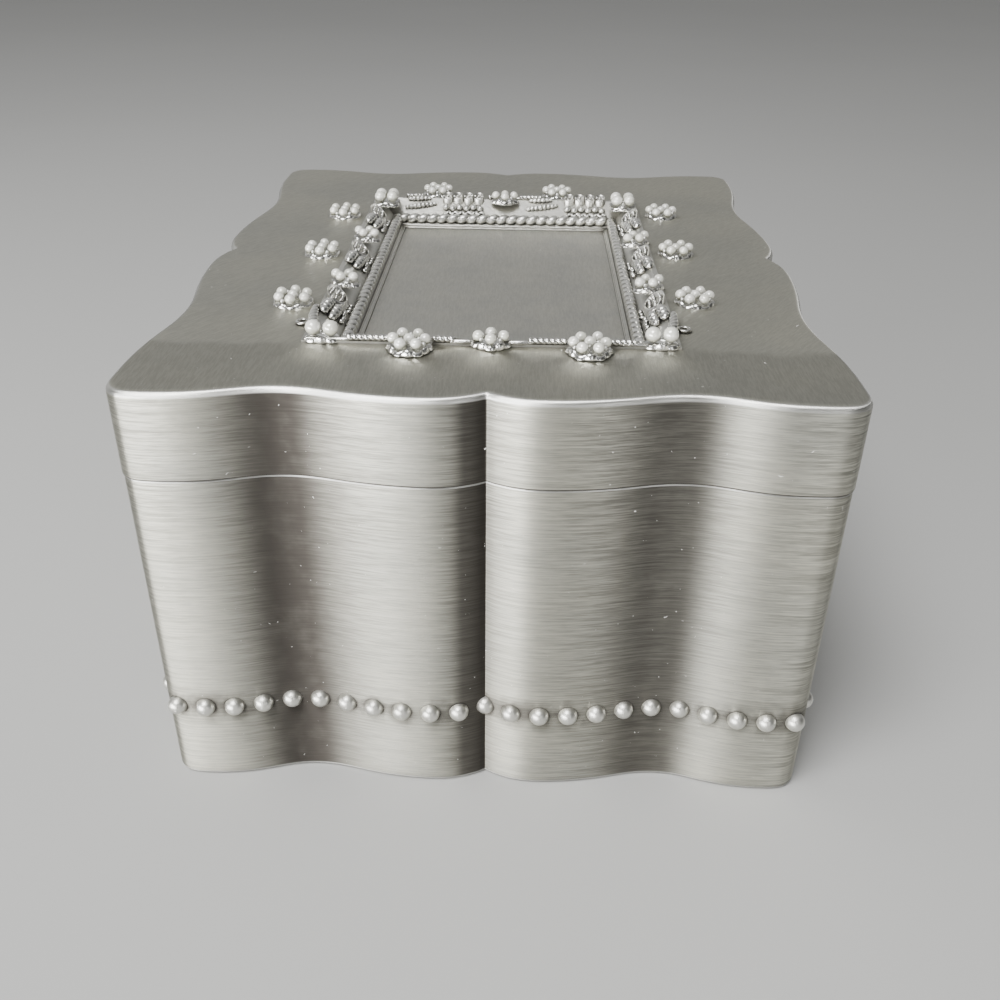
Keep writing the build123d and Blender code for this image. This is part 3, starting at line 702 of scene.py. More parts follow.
def antiqued(name, hollow, deepest, bright, polish, low):
    """Cast pewter: waxed in hollows up to a size in metres, the dark there partly painted shade, and
    bright where it lies open above low.
    """
    material, tree, shader = start_material(name)
    spot, facing = place_in_mm(tree)
    crevice = openness(tree, hollow, 8)
    grit = cloudy(tree, spot, 1.6, 4.0, 0.65)
    # Dark in the hollows: wax, and painted shade beside raised parts.
    hollows = ranged(tree, crevice, 0.30, 0.88, deepest, 0.0)
    wax = math_of(tree, "ADD", hollows, ranged(tree, grit, 0.5, 0.75, 0.0, 0.16), clamp=True)
    tone = use_group(
        tree, pewter_tone, Lines=grit, Cloud=cloudy(tree, spot, 0.35, 3.0), Wax=wax,
        Wear=ranged(tree, crevice, low, 0.95, 0.0, bright), Dust=0.0, Metal=CAST_METAL, Wax_Colour=CAST_WAX,
    )
    coat(tree, shader, tone, bumped(tree, grit, 0.00006, 0.6), polish)
    return material


frame_pewter = antiqued("frame_pewter", 0.0018, 0.75, 0.5, 0.8, 0.78)
for side in SIDES:
    give(nodes[f"frame_rail_{side}"], frame_pewter)

FRAME_HALF = (27.0, 40.4)
RIM_TOP, LIP_WIDE = 67.75, 0.8
SLOPE_FALL = 4.15 / 4.9


class Rail:
    """One side of the frame: places on it are given along it, in from its outer edge, and up."""

    def __init__(self, side, outward, reach, run):
        self.side, self.outward, self.run = side, Vector(outward), run
        self.along = self.outward.cross(Vector((0, 0, 1)))
        self.origin = FRAME_MIDDLE + self.outward * reach

    def at(self, along, inward, up):
        """The point at a distance from the rail's middle, in from its outer edge, at a height."""
        return self.origin + self.along * along - self.outward * inward + Vector((0, 0, up))

    def slope(self, inward):
        """Height of the sloping face."""
        return RIM_TOP - SLOPE_FALL * max(0.0, inward - LIP_WIDE)


rails = [
    Rail("front", (0, -1, 0), FRAME_HALF[1], FRAME_HALF[0]),
    Rail("rear", (0, 1, 0), FRAME_HALF[1], FRAME_HALF[0]),
    Rail("left", (-1, 0, 0), FRAME_HALF[0], FRAME_HALF[1]),
    Rail("right", (1, 0, 0), FRAME_HALF[0], FRAME_HALF[1]),
]


def path_frames(path):
    """Two directions across a path at each of its points."""
    pairs = []
    for i, here in enumerate(path):
        ahead = (path[min(i + 1, len(path) - 1)] - path[max(i - 1, 0)]).normalized()
        side = ahead.cross(Vector((0, 0, 1)))
        side = side.normalized() if side.length > 0.01 else Vector((1, 0, 0))
        pairs.append((side, side.cross(ahead)))
    return pairs


def bar(form, path, radius_at, sides=16, tips=0.6):
    """A round bar along a path; radius_at gives its radius at a distance and an angle."""
    gone, rows = 0.0, []
    for i, (here, (side, over)) in enumerate(zip(path, path_frames(path))):
        gone += (here - path[i - 1]).length if i else 0.0
        ring_points = []
        for k in range(sides):
            angle = k * math.tau / sides
            reach = radius_at(gone, angle)
            ring_points.append(here + side * (math.cos(angle) * reach) + over * (math.sin(angle) * reach))
        rows.append(ring_points)
    first = path[0] + (path[0] - path[1]).normalized() * tips * radius_at(0, 0)
    last = path[-1] + (path[-1] - path[-2]).normalized() * tips * radius_at(gone, 0)
    form.skin(rows, first=first, last=last)


def straight(first, last, step):
    """Points from first to last, about a step apart."""
    count = max(2, round((last - first).length / step))
    return [first.lerp(last, k / count) for k in range(count + 1)]


def ribbed(radius, neck, pitch, starts, taper=None):
    """A radius that swells into helical ribs; taper gives a share at a distance along."""
    def radius_at(gone, angle):
        phase = (gone / pitch + starts * angle / math.tau) % 1.0
        swell = math.sqrt(max(0.0, 1 - (2 * phase - 1) ** 2))
        return radius * (neck + (1 - neck) * swell) * (taper(gone) if taper else 1.0)
    return radius_at


# ---- frame lines --------------------------------------------------------------------------------
# Two thin wires of pewter along the bevel over the plate, on every rail. They catch the light and
# leave a dark line between them.
BEVEL_WIRES = ((5.95, 63.52, 0.17), (6.5, 63.18, 0.13))
wires = Form()
for rail in rails:
    for inward, up, thick in BEVEL_WIRES:
        end = rail.run - inward
        path = straight(rail.at(-end, inward, up), rail.at(end, inward, up), 2.0)
        bar(wires, path, lambda g, a, t=thick: t, 8)
wires.made("bevel_wires", "lid", "antique_pewter", frame_pewter)

# ---- ropes --------------------------------------------------------------------------------------
# A thick coiled rope of cast pewter on each rail, bedded in the slope and mitred at the corners. The
# rear one holds less wax than the others.
ROPE_IN, ROPE_LIFT, ROPE_RADIUS, ROPE_PITCH = 4.95, 0.45, 1.0, 2.05
rope_pewter = antiqued("rope_pewter", 0.0012, 1.0, 0.9, 0.55, 0.8)
rear_pewter = antiqued("rear_pewter", 0.0009, 0.5, 0.7, 0.8, 0.6)
for rail in rails:
    rope = Form()
    height = rail.slope(ROPE_IN) + ROPE_LIFT
    end = rail.run - ROPE_IN
    path = straight(rail.at(-end, ROPE_IN, height), rail.at(end, ROPE_IN, height), 0.13)
    twist = 1 if rail.side in ("left", "front") else -1
    bar(rope, path, ribbed(ROPE_RADIUS, 0.44, ROPE_PITCH, twist), 28, 0.2)
    finish = rear_pewter if rail.side == "rear" else rope_pewter
    piece = rope.made(f"coiled_rope_{rail.side}", "lid", "antique_pewter", finish, 180)
    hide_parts(f"rope_{rail.side}")

# ---- rim cords ----------------------------------------------------------------------------------
# Two-stranded cord and slim bars, soldered end to end between the clusters on the front and rear
# lips. The bars are thickest at their middle, and the front lip has a plain one at each corner.
CORD_RADIUS, CORD_PITCH = 0.54, 0.8
CORDS = {
    "front": ((-20.4, -14.6), (-8.2, -5.2), (5.4, 10.6), (17.1, 20.4)),
    "rear": ((-20.4, -17.2), (-3.4, -1.6), (3.2, 7.9)),
}
SLIM_BARS = {"front": ((-6.0, -1.6, 0.42), (1.6, 6.3, 0.42), (18.4, 22.6, 0.34)), "rear": ((1.9, 7.2, 0.36),)}
PLAIN_BARS = {"front": ((-26.5, -20.2, 0.34), (22.9, 26.5, 0.36)), "rear": ()}


def on_lip(rail, start, stop, inward, lift, step):
    """Points over a rail's lip, from one distance right of its middle to another."""
    ends = [rail.at(x * rail.along.x, inward, RIM_TOP + lift) for x in (start, stop)]
    return straight(ends[0], ends[1], step)


def slim(long, thick):
    """A radius that is largest at the middle of a bar and thin at its ends."""
    def radius_at(gone, angle):
        return 0.10 + (thick - 0.1) * math.sin(math.pi * min(1, max(0, gone / long))) ** 0.6
    return radius_at


for rail in rails[:2]:
    cord = Form()
    for start, stop in CORDS[rail.side]:
        bar(cord, on_lip(rail, start, stop, 0.5, 0.38, 0.1), ribbed(CORD_RADIUS, 0.5, CORD_PITCH, 2), 20, 0.8)
    for start, stop, thick in SLIM_BARS[rail.side]:
        bar(cord, on_lip(rail, start, stop, 0.3, 0.15, 0.2), slim(stop - start, thick), 12, 1.0)
    for start, stop, thick in PLAIN_BARS[rail.side]:
        bar(cord, on_lip(rail, start, stop, 0.36, 0.12, 0.4), lambda g, a, t=thick: t, 12, 0.7)
    piece = cord.made(f"lip_cord_{rail.side}", "lid", "antique_pewter", rope_pewter, 180)
    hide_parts(f"rim_cord_{rail.side}")

# ---- leaves -------------------------------------------------------------------------------------
# Cast leaves on the slope beside every outer cluster: a dished lobe with a raised edge, filled with
# balls, two ribbed pods at its foot, and a row of small tabs towards the rope. Wax fills them.
leaf_pewter = antiqued("leaf_pewter", 0.0009, 0.9, 1.0, 0.5, 0.5)


def ball(form, middle, radius, rings=5, sides=8, flat=1.0):
    """A small ball, flattened from above by a share."""
    rows = []
    for r in range(1, rings):
        tilt = math.pi * r / rings
        level, wide = -math.cos(tilt) * flat, math.sin(tilt)
        rows.append([
            middle + Vector((wide * math.cos(a), wide * math.sin(a), level)) * radius
            for a in (k * math.tau / sides for k in range(sides))
        ])
    tip = Vector((0, 0, radius * flat))
    form.skin(rows, first=middle - tip, last=middle + tip)


def on_slope(rail, along, inward, lift):
    """A point over the sloping face, at a world distance along the rail from the frame's middle."""
    turn = rail.along.x + rail.along.y
    return rail.at(along * turn, inward, rail.slope(inward) + lift)


DISH_PROFILE = (
    (1.05, -0.5), (1.0, 0.35), (0.97, 0.85), (0.90, 1.18),
    (0.82, 1.10), (0.74, 0.72), (0.5, 0.66), (0.25, 0.74),
)


def dish(form, grains, rail, along, inward, long, wide, size):
    """A dished lobe with a raised edge: half its length and width, and its balls' radius."""
    turns = [-k * math.tau / 36 for k in range(36)]
    rows = []
    for share, lift in DISH_PROFILE:
        rows.append([
            on_slope(rail, along + long * share * math.cos(a), inward + wide * share * math.sin(a), lift)
            for a in turns
        ])
    form.skin(rows, first=on_slope(rail, along, inward, -0.5), last=on_slope(rail, along, inward, 0.76))
    gap = size * 3.0
    for q in range(-6, 7):
        for p in range(-6, 7):
            u, v = (p + (q % 2) / 2) * gap, q * gap * 0.87
            if (u / long) ** 2 + (v / wide) ** 2 < 0.50:
                stray = random.uniform(-0.07, 0.07)
                grain_place = on_slope(rail, along + u + stray, inward + v - stray, 0.98)
                ball(grains, grain_place, size * random.uniform(0.9, 1.15), 6, 10)


def pod(form, rail, first, last, inward_first, inward_last, thick, pitch):
    """A ribbed pod on the slope, pointed at both ends."""
    path = []
    for k in range(49):
        t = k / 48
        along, inward = first + (last - first) * t, inward_first + (inward_last - inward_first) * t
        path.append(on_slope(rail, along, inward, 0.42))
    long = abs(last - first)

    def pointed(gone):
        return 0.35 + 0.65 * math.sin(math.pi * min(1, gone / long)) ** 0.5

    bar(form, path, ribbed(thick, 0.45, pitch, 0, pointed), 16, 0.6)


def slope_leaf(leaf, grains, rail, place, low, narrow):
    """A leaf on the front or a side: a dish, two pods at its foot, and two rows of tabs."""
    dish(leaf, grains, rail, place + 2.5, 1.95 + low, 2.95, 1.6 * narrow, 0.28)
    for across in (-0.62, 0.62):
        inner = 1.8 + low + across * narrow
        pod(leaf, rail, place - 5.7, place - 0.2, inner - 0.1, inner + 0.2, 0.85 * narrow + 0.12, 1.3)
    for k in range(4):
        tab = on_slope(rail, place - 4.3 + 1.2 * k, 3.55 + low * 0.5 + 0.1 * math.sin(2 * k), 0.40)
        ball(leaf, tab, 0.46, 8, 12, 0.9)
    for k in range(3):
        tab = on_slope(rail, place + 0.9 + 1.3 * k, 3.85 + low * 0.3, 0.28)
        ball(leaf, tab, 0.38, 8, 12, 0.9)


def rear_leaf(leaf, grains, rail, place):
    """A leaf on the rear: four small dishes over balls and a waved bar, and two pods beside them."""
    for k in range(4):
        dish(leaf, grains, rail, place - 2.9 + 2.15 * k, 1.15, 1.05, 0.95, 0.24)
    for k in range(6):
        ball(leaf, on_slope(rail, place - 3.2 + 1.42 * k, 2.75 + 0.2 * (k % 2), 0.35), 0.72, 10, 14, 0.9)
    wave = [on_slope(rail, place - 3.6 + 0.12 * k, 3.75 + 0.2 * math.sin(k * 0.55), 0.25) for k in range(70)]
    bar(leaf, wave, ribbed(0.34, 0.6, 0.7, 0), 12, 0.6)
    pod(leaf, rail, place - 11.7, place - 5.2, 2.9, 2.1, 0.62, 0.85)
    pod(leaf, rail, place - 11.2, place - 6.4, 1.3, 1.1, 0.55, 0.85)


SIDE_LEAVES = (-23.38, 1.35, 26.08)
LEAF_PLACES = {"left": SIDE_LEAVES, "right": SIDE_LEAVES, "front": (-9.36, 15.86), "rear": (-9.01, 16.21)}
random.seed(11)
for rail in rails:
    leaf, grains = Form(), Form()
    for place in LEAF_PLACES[rail.side]:
        if rail.side == "rear":
            rear_leaf(leaf, grains, rail, place)
        elif rail.side == "front":
            slope_leaf(leaf, grains, rail, place, 0.9, 0.62)
        else:
            slope_leaf(leaf, grains, rail, place, 0.0, 1.0)
    finish = rear_pewter if rail.side == "rear" else leaf_pewter
    leaf_piece = leaf.made(f"leaf_{rail.side}", "lid", "antique_pewter", finish, 60)
    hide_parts(f"leaves_{rail.side}")
    grains.made(f"leaf_grains_{rail.side}", "lid", "antique_pewter", finish, 180)

# ---- cups ---------------------------------------------------------------------------------------
# Thin stamped pewter cups, scalloped round the pearls that they carry, with a rolled bright edge.
# A row of their profile is its share of the edge's reach, its height, and how far its lobes rise.
CUP_PROFILE = (
    (0.90, -0.34, 0.0), (1.02, -0.34, 0.0), (1.05, -0.24, 0.1), (1.04, -0.12, 0.4), (1.00, 0.06, 0.9),
    (0.97, 0.24, 1.0), (0.94, 0.30, 1.0), (0.91, 0.26, 0.9), (0.86, 0.20, 0.5), (0.78, 0.18, 0.0),
)
CUP_SIDES, NEIGHBOURLY = 144, 3.4

def islands(node):
    """Middle and half size of each separate solid in a frame piece, in millimetres."""
    mesh = nodes[node].data
    points = [v.co / MM for v in mesh.vertices]
    key = [(round(p.x, 3), round(p.y, 3), round(p.z, 3)) for p in points]
    home = {}
    def find(k):
        while home.setdefault(k, k) != k:
            home[k] = home[home[k]]
            k = home[k]
        return k
    for face in mesh.polygons:
        first = find(key[face.vertices[0]])
        for corner in face.vertices[1:]:
            home[find(key[corner])] = first
    groups = {}
    for k in set(key):
        groups.setdefault(find(k), []).append(Vector(k))
    found = []
    for members in groups.values():
        low = Vector(map(min, *members))
        high = Vector(map(max, *members))
        found.append(((low + high) / 2, (high - low) / 2))
    return sorted(found, key=lambda f: tuple(f[0]))


def cup(form, middle, pearls, radius, low):
    """A cup round pearls: its edge dips under each pearl and rises as a lobe in each gap."""
    between = [
        (p + q) / 2 for i, p in enumerate(pearls) for q in pearls[i + 1:]
        if (p - q).xy.length < radius * NEIGHBOURLY
    ]

    def reach(ray, places, size):
        far = 0.0
        for place in places:
            gap = Vector((place.x - middle.x, place.y - middle.y, 0))
            along = gap.dot(ray)
            side = (gap - ray * along).length
            if side < size:
                far = max(far, along + math.sqrt(size * size - side * side))
        return far

    turns = [k * math.tau / CUP_SIDES for k in range(CUP_SIDES)]
    rays = [Vector((math.cos(a), math.sin(a), 0)) for a in turns]
    at_pearls = [reach(ray, pearls, radius) for ray in rays]
    at_gaps = [reach(ray, between, radius + 0.16) for ray in rays]
    lifts = [min(1.0, max(0.0, 0.5 + (g - p) / 0.30)) for p, g in zip(at_pearls, at_gaps)]
    lifts = [sum(lifts[(k + j) % CUP_SIDES] for j in range(-3, 4)) / 7 for k in range(CUP_SIDES)]
    rows = []
    for share, height, wave in CUP_PROFILE:
        row = []
        for ray, p, g, lift in zip(rays, at_pearls, at_gaps, lifts):
            out = ray * max(p, g) * share
            row.append(Vector((middle.x + out.x, middle.y + out.y, low + height + 0.34 * wave * lift)))
        rows.append(row)
    foot, well = (Vector((middle.x, middle.y, low + height)) for height in (-0.34, 0.15))
    form.skin(rows, first=foot, last=well)


cup_pewter = antiqued("cup_pewter", 0.0006, 0.5, 1.0, 0.55, 0.4)
clusters = []
for node in sorted(n for n in nodes if n.startswith("cups_")):
    form = Form()
    pearl_islands = islands(node.replace("cups_", "pearls_"))
    radius = pearl_islands[0][1].x
    for middle, half in islands(node):
        pearls = [
            p for p, _ in pearl_islands
            if abs(p.x - middle.x) < half.x and abs(p.y - middle.y) < half.y
        ]
        cup(form, middle, pearls, radius + 0.14, middle.z - 0.2)
        clusters.append((node, middle, pearls, radius))
    piece = form.made(node.replace("cups_", "scalloped_cups_"), "lid", "antique_pewter", cup_pewter, 60)
    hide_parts(node)

# ---- pearls -------------------------------------------------------------------------------------
# Small ivory pearls of glass, glued in close clusters. They are round but not quite alike, with a
# greenish cast, a milky body and a bright lustre. Painted shade darkens them where they touch each
# other and on their undersides.
IVORY, PALE_IVORY = (0.84, 0.84, 0.73, 1), (0.94, 0.93, 0.86, 1)
PEARL_STRAY = ((-0.05, 0.05), (-0.05, 0.05), (-0.06, 0.04))
IVORY_CREVICE_SHADE, IVORY_UNDERSIDE_SHADE = (0.14, 0.14, 0.09, 1), (0.20, 0.20, 0.13, 1)
pearl_coat, tree, shader = start_material(
    "pearl_coat", Metallic=0.0, Roughness=0.24, Coat_Weight=1.0, Coat_Roughness=0.06, Coat_IOR=2.1, IOR=1.8,
    Specular_IOR_Level=0.9,
)
spot, facing = place_in_mm(tree)
ivory = mixed(tree, ranged(tree, cloudy(tree, spot, 0.5, 2.0), 0.35, 0.65), IVORY, PALE_IVORY)
# Painted shade where the pearls touch each other, and on their undersides.
ivory = mixed(tree, ranged(tree, openness(tree, 0.0016), 0.15, 0.80, 0.85, 0.0), ivory, IVORY_CREVICE_SHADE)
ivory = mixed(tree, ranged(tree, part_of(tree, facing, 2), -0.60, 0.20, 0.65, 0.0), ivory, IVORY_UNDERSIDE_SHADE)
feed(tree, shader, Base_Color=ivory)
random.seed(5)
pearl_forms = {}
for node, middle, pearls, radius in clusters:
    form = pearl_forms.setdefault(node.replace("cups_", "pearls_"), Form())
    for pearl in pearls:
        stray = Vector([random.uniform(low, high) for low, high in PEARL_STRAY])
        ball(form, pearl + stray, radius * random.uniform(0.97, 1.0), 14, 24, random.uniform(0.95, 1.0))
for node, form in pearl_forms.items():
    piece = form.made(node.replace("pearls_", "glass_pearls_"), "lid", "pearl", pearl_coat, 180)
    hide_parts(node)

# ---- grain balls --------------------------------------------------------------------------------
# Bright balls of pewter soldered at the edges of the clusters, in the gaps between the pearls.
BALL_DARK, BALL_PALE = (0.74, 0.735, 0.70, 1), (0.88, 0.875, 0.85, 1)
bright_pewter, tree, shader = start_material("bright_pewter", Metallic=1.0)
spot, facing = place_in_mm(tree)
grit = cloudy(tree, spot, 1.5, 3.0)
ball_tone = mixed(tree, grit, BALL_DARK, BALL_PALE)
feed(tree, shader, Base_Color=ball_tone, Roughness=ranged(tree, grit, 0.2, 0.8, 0.26, 0.40))
grain_balls = Form()
random.seed(8)
for node, middle, pearls, radius in clusters:
    outer = sorted(pearls, key=lambda p: math.atan2(p.y - middle.y, p.x - middle.x))
    ringed = [p for p in outer if (p - middle).xy.length > 0.3]
    for k, pearl in enumerate(ringed):
        gap = (pearl + ringed[(k + 1) % len(ringed)]) / 2
        out = Vector((gap.x - middle.x, gap.y - middle.y, 0))
        if out.length < 0.2 or random.random() < 0.25:
            continue
        place = gap + out.normalized() * radius * 0.62
        ball(grain_balls, Vector((place.x, place.y, middle.z + 0.72)), random.uniform(0.30, 0.38), 8, 12)
grain_balls.made("grain_balls", "lid", "antique_pewter", bright_pewter, 180)

# ---- corner stems -------------------------------------------------------------------------------
# A ribbed horn lies on the lip behind each front corner's pearls. It thins towards the next cluster,
# and a small ring is soldered beside it.
HORN_RADIUS, HORN_LONG, HORN_X, HORN_Y = 0.98, 9.8, 25.6, -41.3
RING_X, RING_Y, RING_THICK = 28.2, -36.9, 0.27
stems = Form()
for turn in (-1, 1):
    path = []
    for k in range(120):
        t = k / 119
        x = turn * (HORN_X + 1.5 * math.sin(t * math.pi / 2))
        path.append(Vector((x, HORN_Y + HORN_LONG * t, 68.25 - 0.15 * t)))
    bar(stems, path, ribbed(HORN_RADIUS, 0.46, 1.5, 1, lambda g: 1.0 - 0.045 * g), 20, 0.6)
    loop = []
    for k in range(25):
        a = k * math.tau / 24
        loop.append(Vector((turn * RING_X + 0.85 * math.cos(a), RING_Y + 0.8 * math.sin(a), LID_TOP + 0.28)))
    bar(stems, loop, lambda g, a: RING_THICK, 10, 0.0)
stems.made("corner_stems", "lid", "antique_pewter", rope_pewter, 180)

# ---- base felt ----------------------------------------------------------------------------------
# Dark felt glued flat under the floor, inside the metal rim that the box stands on. Its cut edge is
# soft, and its fibres lie matted in every direction.
FELT_DARK, FELT_PALE, FELT_WORN = (0.009, 0.010, 0.013, 1), (0.030, 0.032, 0.038, 1), (0.034, 0.034, 0.036, 1)
FELT_DUST = (0.30, 0.29, 0.27, 1)
felt_cloth, tree, shader = start_material(
    "felt_cloth", Sheen_Weight=0.25, Sheen_Roughness=0.6, Specular_IOR_Level=0.2,
)
spot, facing = place_in_mm(tree)
matted = cloudy(tree, spot, 1.1, 6.0, 0.75, 1.5)
fibre_spot = wandered(tree, spot, 0.5, 3.0, 5)
fibres = cloudy(tree, stretched(tree, fibre_spot, (4.0, 0.5, 2.0)), 1.0, 3.0)
pressed = cloudy(tree, spot, 0.06, 3.0)
pile = math_of(tree, "ADD", math_of(tree, "MULTIPLY", matted, 0.6), math_of(tree, "MULTIPLY", fibres, 0.4))
felt_tone = mixed(tree, ranged(tree, pile, 0.3, 0.7), FELT_DARK, FELT_PALE)
felt_tone = mixed(tree, ranged(tree, pressed, 0.35, 0.7, 0.0, 0.4), felt_tone, FELT_WORN)
felt_tone = mixed(tree, dusted(tree, spot, 0.7), felt_tone, FELT_DUST)
feed(
    tree, shader, Base_Color=felt_tone, Roughness=ranged(tree, pile, 0.2, 0.8, 0.98, 0.86),
    Normal=bumped(tree, pile, 0.00018, 0.8),
)
FELT_THICK = 1.16
EDGE_LOW = ((0.38, 0.03), (0.14, 0.1), (0.02, 0.35))
EDGE_HIGH = ((0.0, 0.8), (0.12, 1.08), (0.38, FELT_THICK))
felt_line = eased(outline_at("base_felt", 0.0))
faces = [[p * (k / 20) for p in ring(felt_line, 0.38, 0)] for k in range(1, 20)]


def matted_row(row, height, depth):
    """A row of felt at a height, a little uneven."""
    return [Vector((p.x, p.y, height + depth * noise.noise(p * 0.35))) for p in row]


rows = [matted_row(row, 0.05, 0.04) for row in faces]
rows += [ring(felt_line, inset, height) for inset, height in EDGE_LOW + EDGE_HIGH]
rows += [matted_row(row, FELT_THICK, 0.02) for row in faces[::-1]]
felt = Form()
felt.skin(rows, first=Vector((0, 0, 0.05)), last=Vector((0, 0, FELT_THICK)))
felt_sheet = felt.made("felt_sheet", "box", "felt", felt_cloth)
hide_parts("base_felt")

# ---- wall lining --------------------------------------------------------------------------------
# Navy velvet round the inside of the walls, folded over at the top a little below the rim. It is
# glued down, so it only swells gently between the hollows, and its ends meet at the back.
VELVET_DARK, VELVET_PALE = (0.007, 0.010, 0.030, 1), (0.013, 0.018, 0.052, 1)
TUFT_BLUE, PILE_SHADE, VELVET_DUST = (0.020, 0.027, 0.070, 1), (0.004, 0.006, 0.022, 1), (0.28, 0.28, 0.30, 1)
VELVET_SHEEN = (0.36, 0.42, 0.62, 1)
velvet, tree, shader = start_material(
    "velvet", Sheen_Weight=0.7, Sheen_Roughness=0.38, Sheen_Tint=VELVET_SHEEN, Specular_IOR_Level=0.12,
)
spot, facing = place_in_mm(tree)
tufts = cloudy(tree, spot, 3.4, 3.0, 0.7)
weave = put(tree, "TexVoronoi", {"Vector": spot, "Scale": 2.2}).outputs["Distance"]
stroked = cloudy(tree, stretched(tree, spot, (0.06, 0.10, 0.12)), 1.0, 4.0, 0.5, 0.5)
nap = ranged(tree, stroked, 0.30, 0.74)
velvet_tone = mixed(tree, nap, VELVET_DARK, VELVET_PALE)
velvet_tone = mixed(tree, ranged(tree, tufts, 0.35, 0.7, 0.0, 0.55), velvet_tone, TUFT_BLUE)
velvet_tone = mixed(tree, ranged(tree, weave, 0.1, 0.5, 0.5, 0.0), velvet_tone, PILE_SHADE)
velvet_tone = mixed(tree, dusted(tree, spot, 0.55), velvet_tone, VELVET_DUST)
leaning = bumped(tree, stroked, 0.0006, 0.4)
feed(
    tree, shader, Base_Color=velvet_tone, Roughness=ranged(tree, nap, 0.0, 1.0, 0.95, 0.78),
    Normal=bumped(tree, tufts, 0.00012, 0.8, leaning),
)


def lining_row(inset, height, swell):
    """A level row of the lining's face, which swells a little and parts at its seam."""
    row = []
    for p in ring(box_line, inset, height):
        inward = Vector((p.x, p.y, 0)).normalized()
        soft = 0.5 + noise.noise(Vector((p.x * 0.12, p.y * 0.12, height * 0.05 + 3)))
        parted = math.exp(-((p.x / 0.5) ** 2)) if p.y > 0 else 0.0
        row.append(p - inward * swell * (0.22 * soft - 0.25 * parted))
    return row


LINING_FOOT, TOP_FOLD, LINING_TALL = 2.72, 52.05, 0.050
LINING_IN, LINING_BACK, FOLD_RADIUS = 2.68, 1.55, 0.63
WINDOW = [(-4.15, -7.3), (1.5, -7.3), (1.5, 7.3), (-4.15, 7.3)]
WINDOW_HALF = 5.8
rows = [lining_row(2.6, LINING_FOOT, 0.0)] + [lining_row(LINING_IN, 3.5 + 2.2 * k, 1.0) for k in range(22)]
rows += [lining_row(LINING_IN, TOP_FOLD, 0.8)]
for a in (0.5, 1.0, 1.57, 2.1, 2.6):
    inset = LINING_IN - FOLD_RADIUS + FOLD_RADIUS * math.cos(a)
    rows.append(lining_row(inset, TOP_FOLD + FOLD_RADIUS * math.sin(a), 0.6))
rows += [ring(box_line, LINING_BACK, TOP_FOLD - 6.0 * k) for k in range(9)]
rows += [ring(box_line, LINING_BACK, LINING_FOOT)]
cloth = Form()
cloth.skin(rows, closed=True)
wall_velvet = cloth.made("wall_velvet", "box", "velvet", velvet)
cut_hinge_room(wall_velvet, (WINDOW,), WINDOW_HALF)
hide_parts("wall_lining")

# ---- floor pad ----------------------------------------------------------------------------------
# A thin velvet cushion on the floor. Its face is pulled over card and wadding, so it is crowned in
# the middle, puckered round its edge, and a little lumpy.
PAD_EDGE = ((0.6, 0.02), (0.2, 0.25), (0.02, 0.7), (0.0, 1.3))
PAD_TALL, BRIM_ROUND, BRIM_FOOT, CROWN_RISE = 2.4, 0.9, 1.5, 0.40


def cushion(name, body, line, base, turn):
    """A velvet pad over a line, rising from its base height, or hanging from it where turn is -1."""
    turns = [k * math.pi / 12 for k in range(7)]
    brim_round = [(BRIM_ROUND * (1 - math.cos(a)), BRIM_FOOT + BRIM_ROUND * math.sin(a)) for a in turns]
    rows = [ring(line, inset, base + turn * rise) for inset, rise in PAD_EDGE + tuple(brim_round)]
    brim = rows[-1]
    travel = [0.0]
    for p, q in zip(line, line[1:]):
        travel.append(travel[-1] + (q - p).length)
    for share in [1 - (k / 34) ** 1.5 for k in range(1, 34)]:
        row = []
        for p, t in zip(brim, travel):
            here = Vector((p.x * share, p.y * share, 0))
            lumpy = noise.noise(Vector((here.x * 0.075, here.y * 0.075, 5.0 * turn)))
            pucker = math.sin(t * 1.15 + 2.5 * noise.noise(Vector((t * 0.07, 1, turn)))) * share**30
            crown = CROWN_RISE * (1 - share**7) + 0.16 * lumpy * (1 - share**12)
            here.z = base + turn * (PAD_TALL + crown - 0.07 * pucker * (1 - share**90))
            row.append(here)
        rows.append(row)
    middle = Vector((0, 0, sum(p.z for p in rows[-1]) / len(rows[-1])))
    pad = Form()
    pad.skin([row[::turn] for row in rows], first=Vector((0, 0, base + turn * 0.02)), last=middle)
    piece = pad.made(name, body, "velvet", velvet)
    return piece


floor_cushion = cushion("floor_cushion", "box", eased(outline_at("floor_pad", FLOOR_TOP)), FLOOR_TOP, 1)
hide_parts("floor_pad")

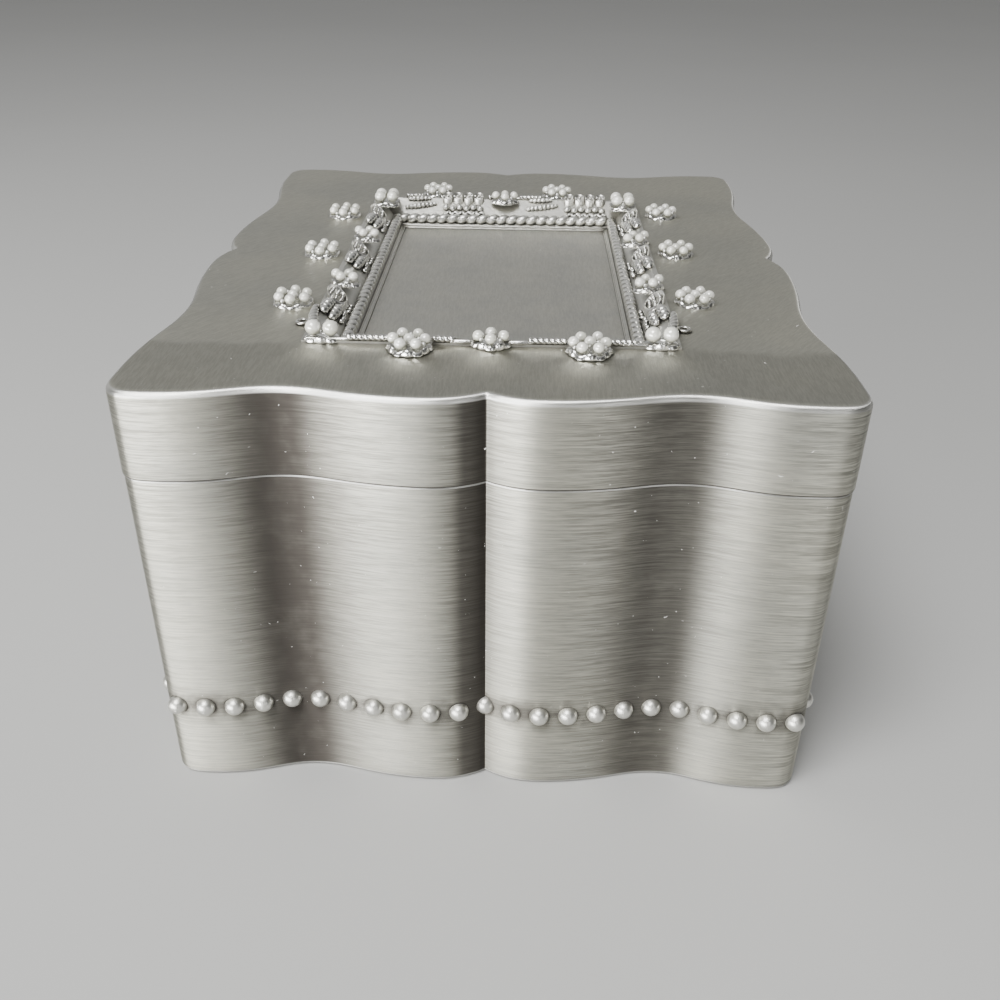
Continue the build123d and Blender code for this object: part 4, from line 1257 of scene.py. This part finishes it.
# ---- lid pad ------------------------------------------------------------------------------------
# The same cushion under the plate, hanging in the lid. Two windows in its rear edge let the hinge
# leaves lie against the lid's wall.
PLATE_UNDER = 61.98
lid_cushion = cushion("lid_cushion", "lid", eased(outline_at("lid_pad", PLATE_UNDER)), PLATE_UNDER, -1)
cut_hinge_room(lid_cushion, (WINDOW,), WINDOW_HALF)
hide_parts("lid_pad")

# ---- hinges -------------------------------------------------------------------------------------
# Two small butt hinges of plated steel, soldered and riveted inside the rear wall. Their rolled
# knuckles show behind the box, and each pin is closed by a turned head.
HINGE_METAL = (0.62, 0.60, 0.54, 1)
hinge_steel, tree, shader = start_material("hinge_steel", Anisotropic=0.4)
spot, facing = place_in_mm(tree)
crevice = openness(tree, 0.0008)
rolled = brushed(tree, spot, (0.5, 3.0, 3.0))
tone = use_group(
    tree, pewter_tone, Lines=ranged(tree, rolled, 0.0, 1.0, 0.30, 0.72), Cloud=cloudy(tree, spot, 0.7, 4.0),
    Wax=ranged(tree, crevice, 0.3, 0.9, 0.85, 0.0), Wear=ranged(tree, crevice, 0.85, 1.0, 0.0, 0.35),
    Dust=dusted(tree, spot, 0.6), Metal=HINGE_METAL, Wax_Colour=WAX,
)
coat(tree, shader, tone, bumped(tree, rolled, 0.00001, 0.6), 0.8)
for side in ("left", "right"):
    for name in (f"hinge_leaf_box_{side}", f"hinge_leaf_lid_{side}", f"hinge_pin_{side}"):
        give(nodes[name], hinge_steel)

RIVET_ASIDE, RIVET_IN, RIVET_UP = 3.2, -3.85, 4.4
RIVET_PROFILE = ((0.86, -0.1), (0.86, 0.03), (0.80, 0.12), (0.62, 0.20), (0.34, 0.25))
turns = [k * math.tau / 20 for k in range(20)]
for body, upward in (("box", -1), ("lid", 1)):
    rivets = Form()
    for place in HINGE_PLACES:
        for aside in (-RIVET_ASIDE, RIVET_ASIDE):
            head = place + Vector((aside, RIVET_IN, upward * RIVET_UP))
            rows = [
                [head + Vector((radius * math.cos(a), -lift, radius * math.sin(a))) for a in turns]
                for radius, lift in RIVET_PROFILE
            ]
            rivets.skin(rows, first=head + Vector((0, 0.1, 0)), last=head + Vector((0, -0.27, 0)))
    rivets.made(f"hinge_rivets_{body}", body, "hinge_metal", hinge_steel, 60)
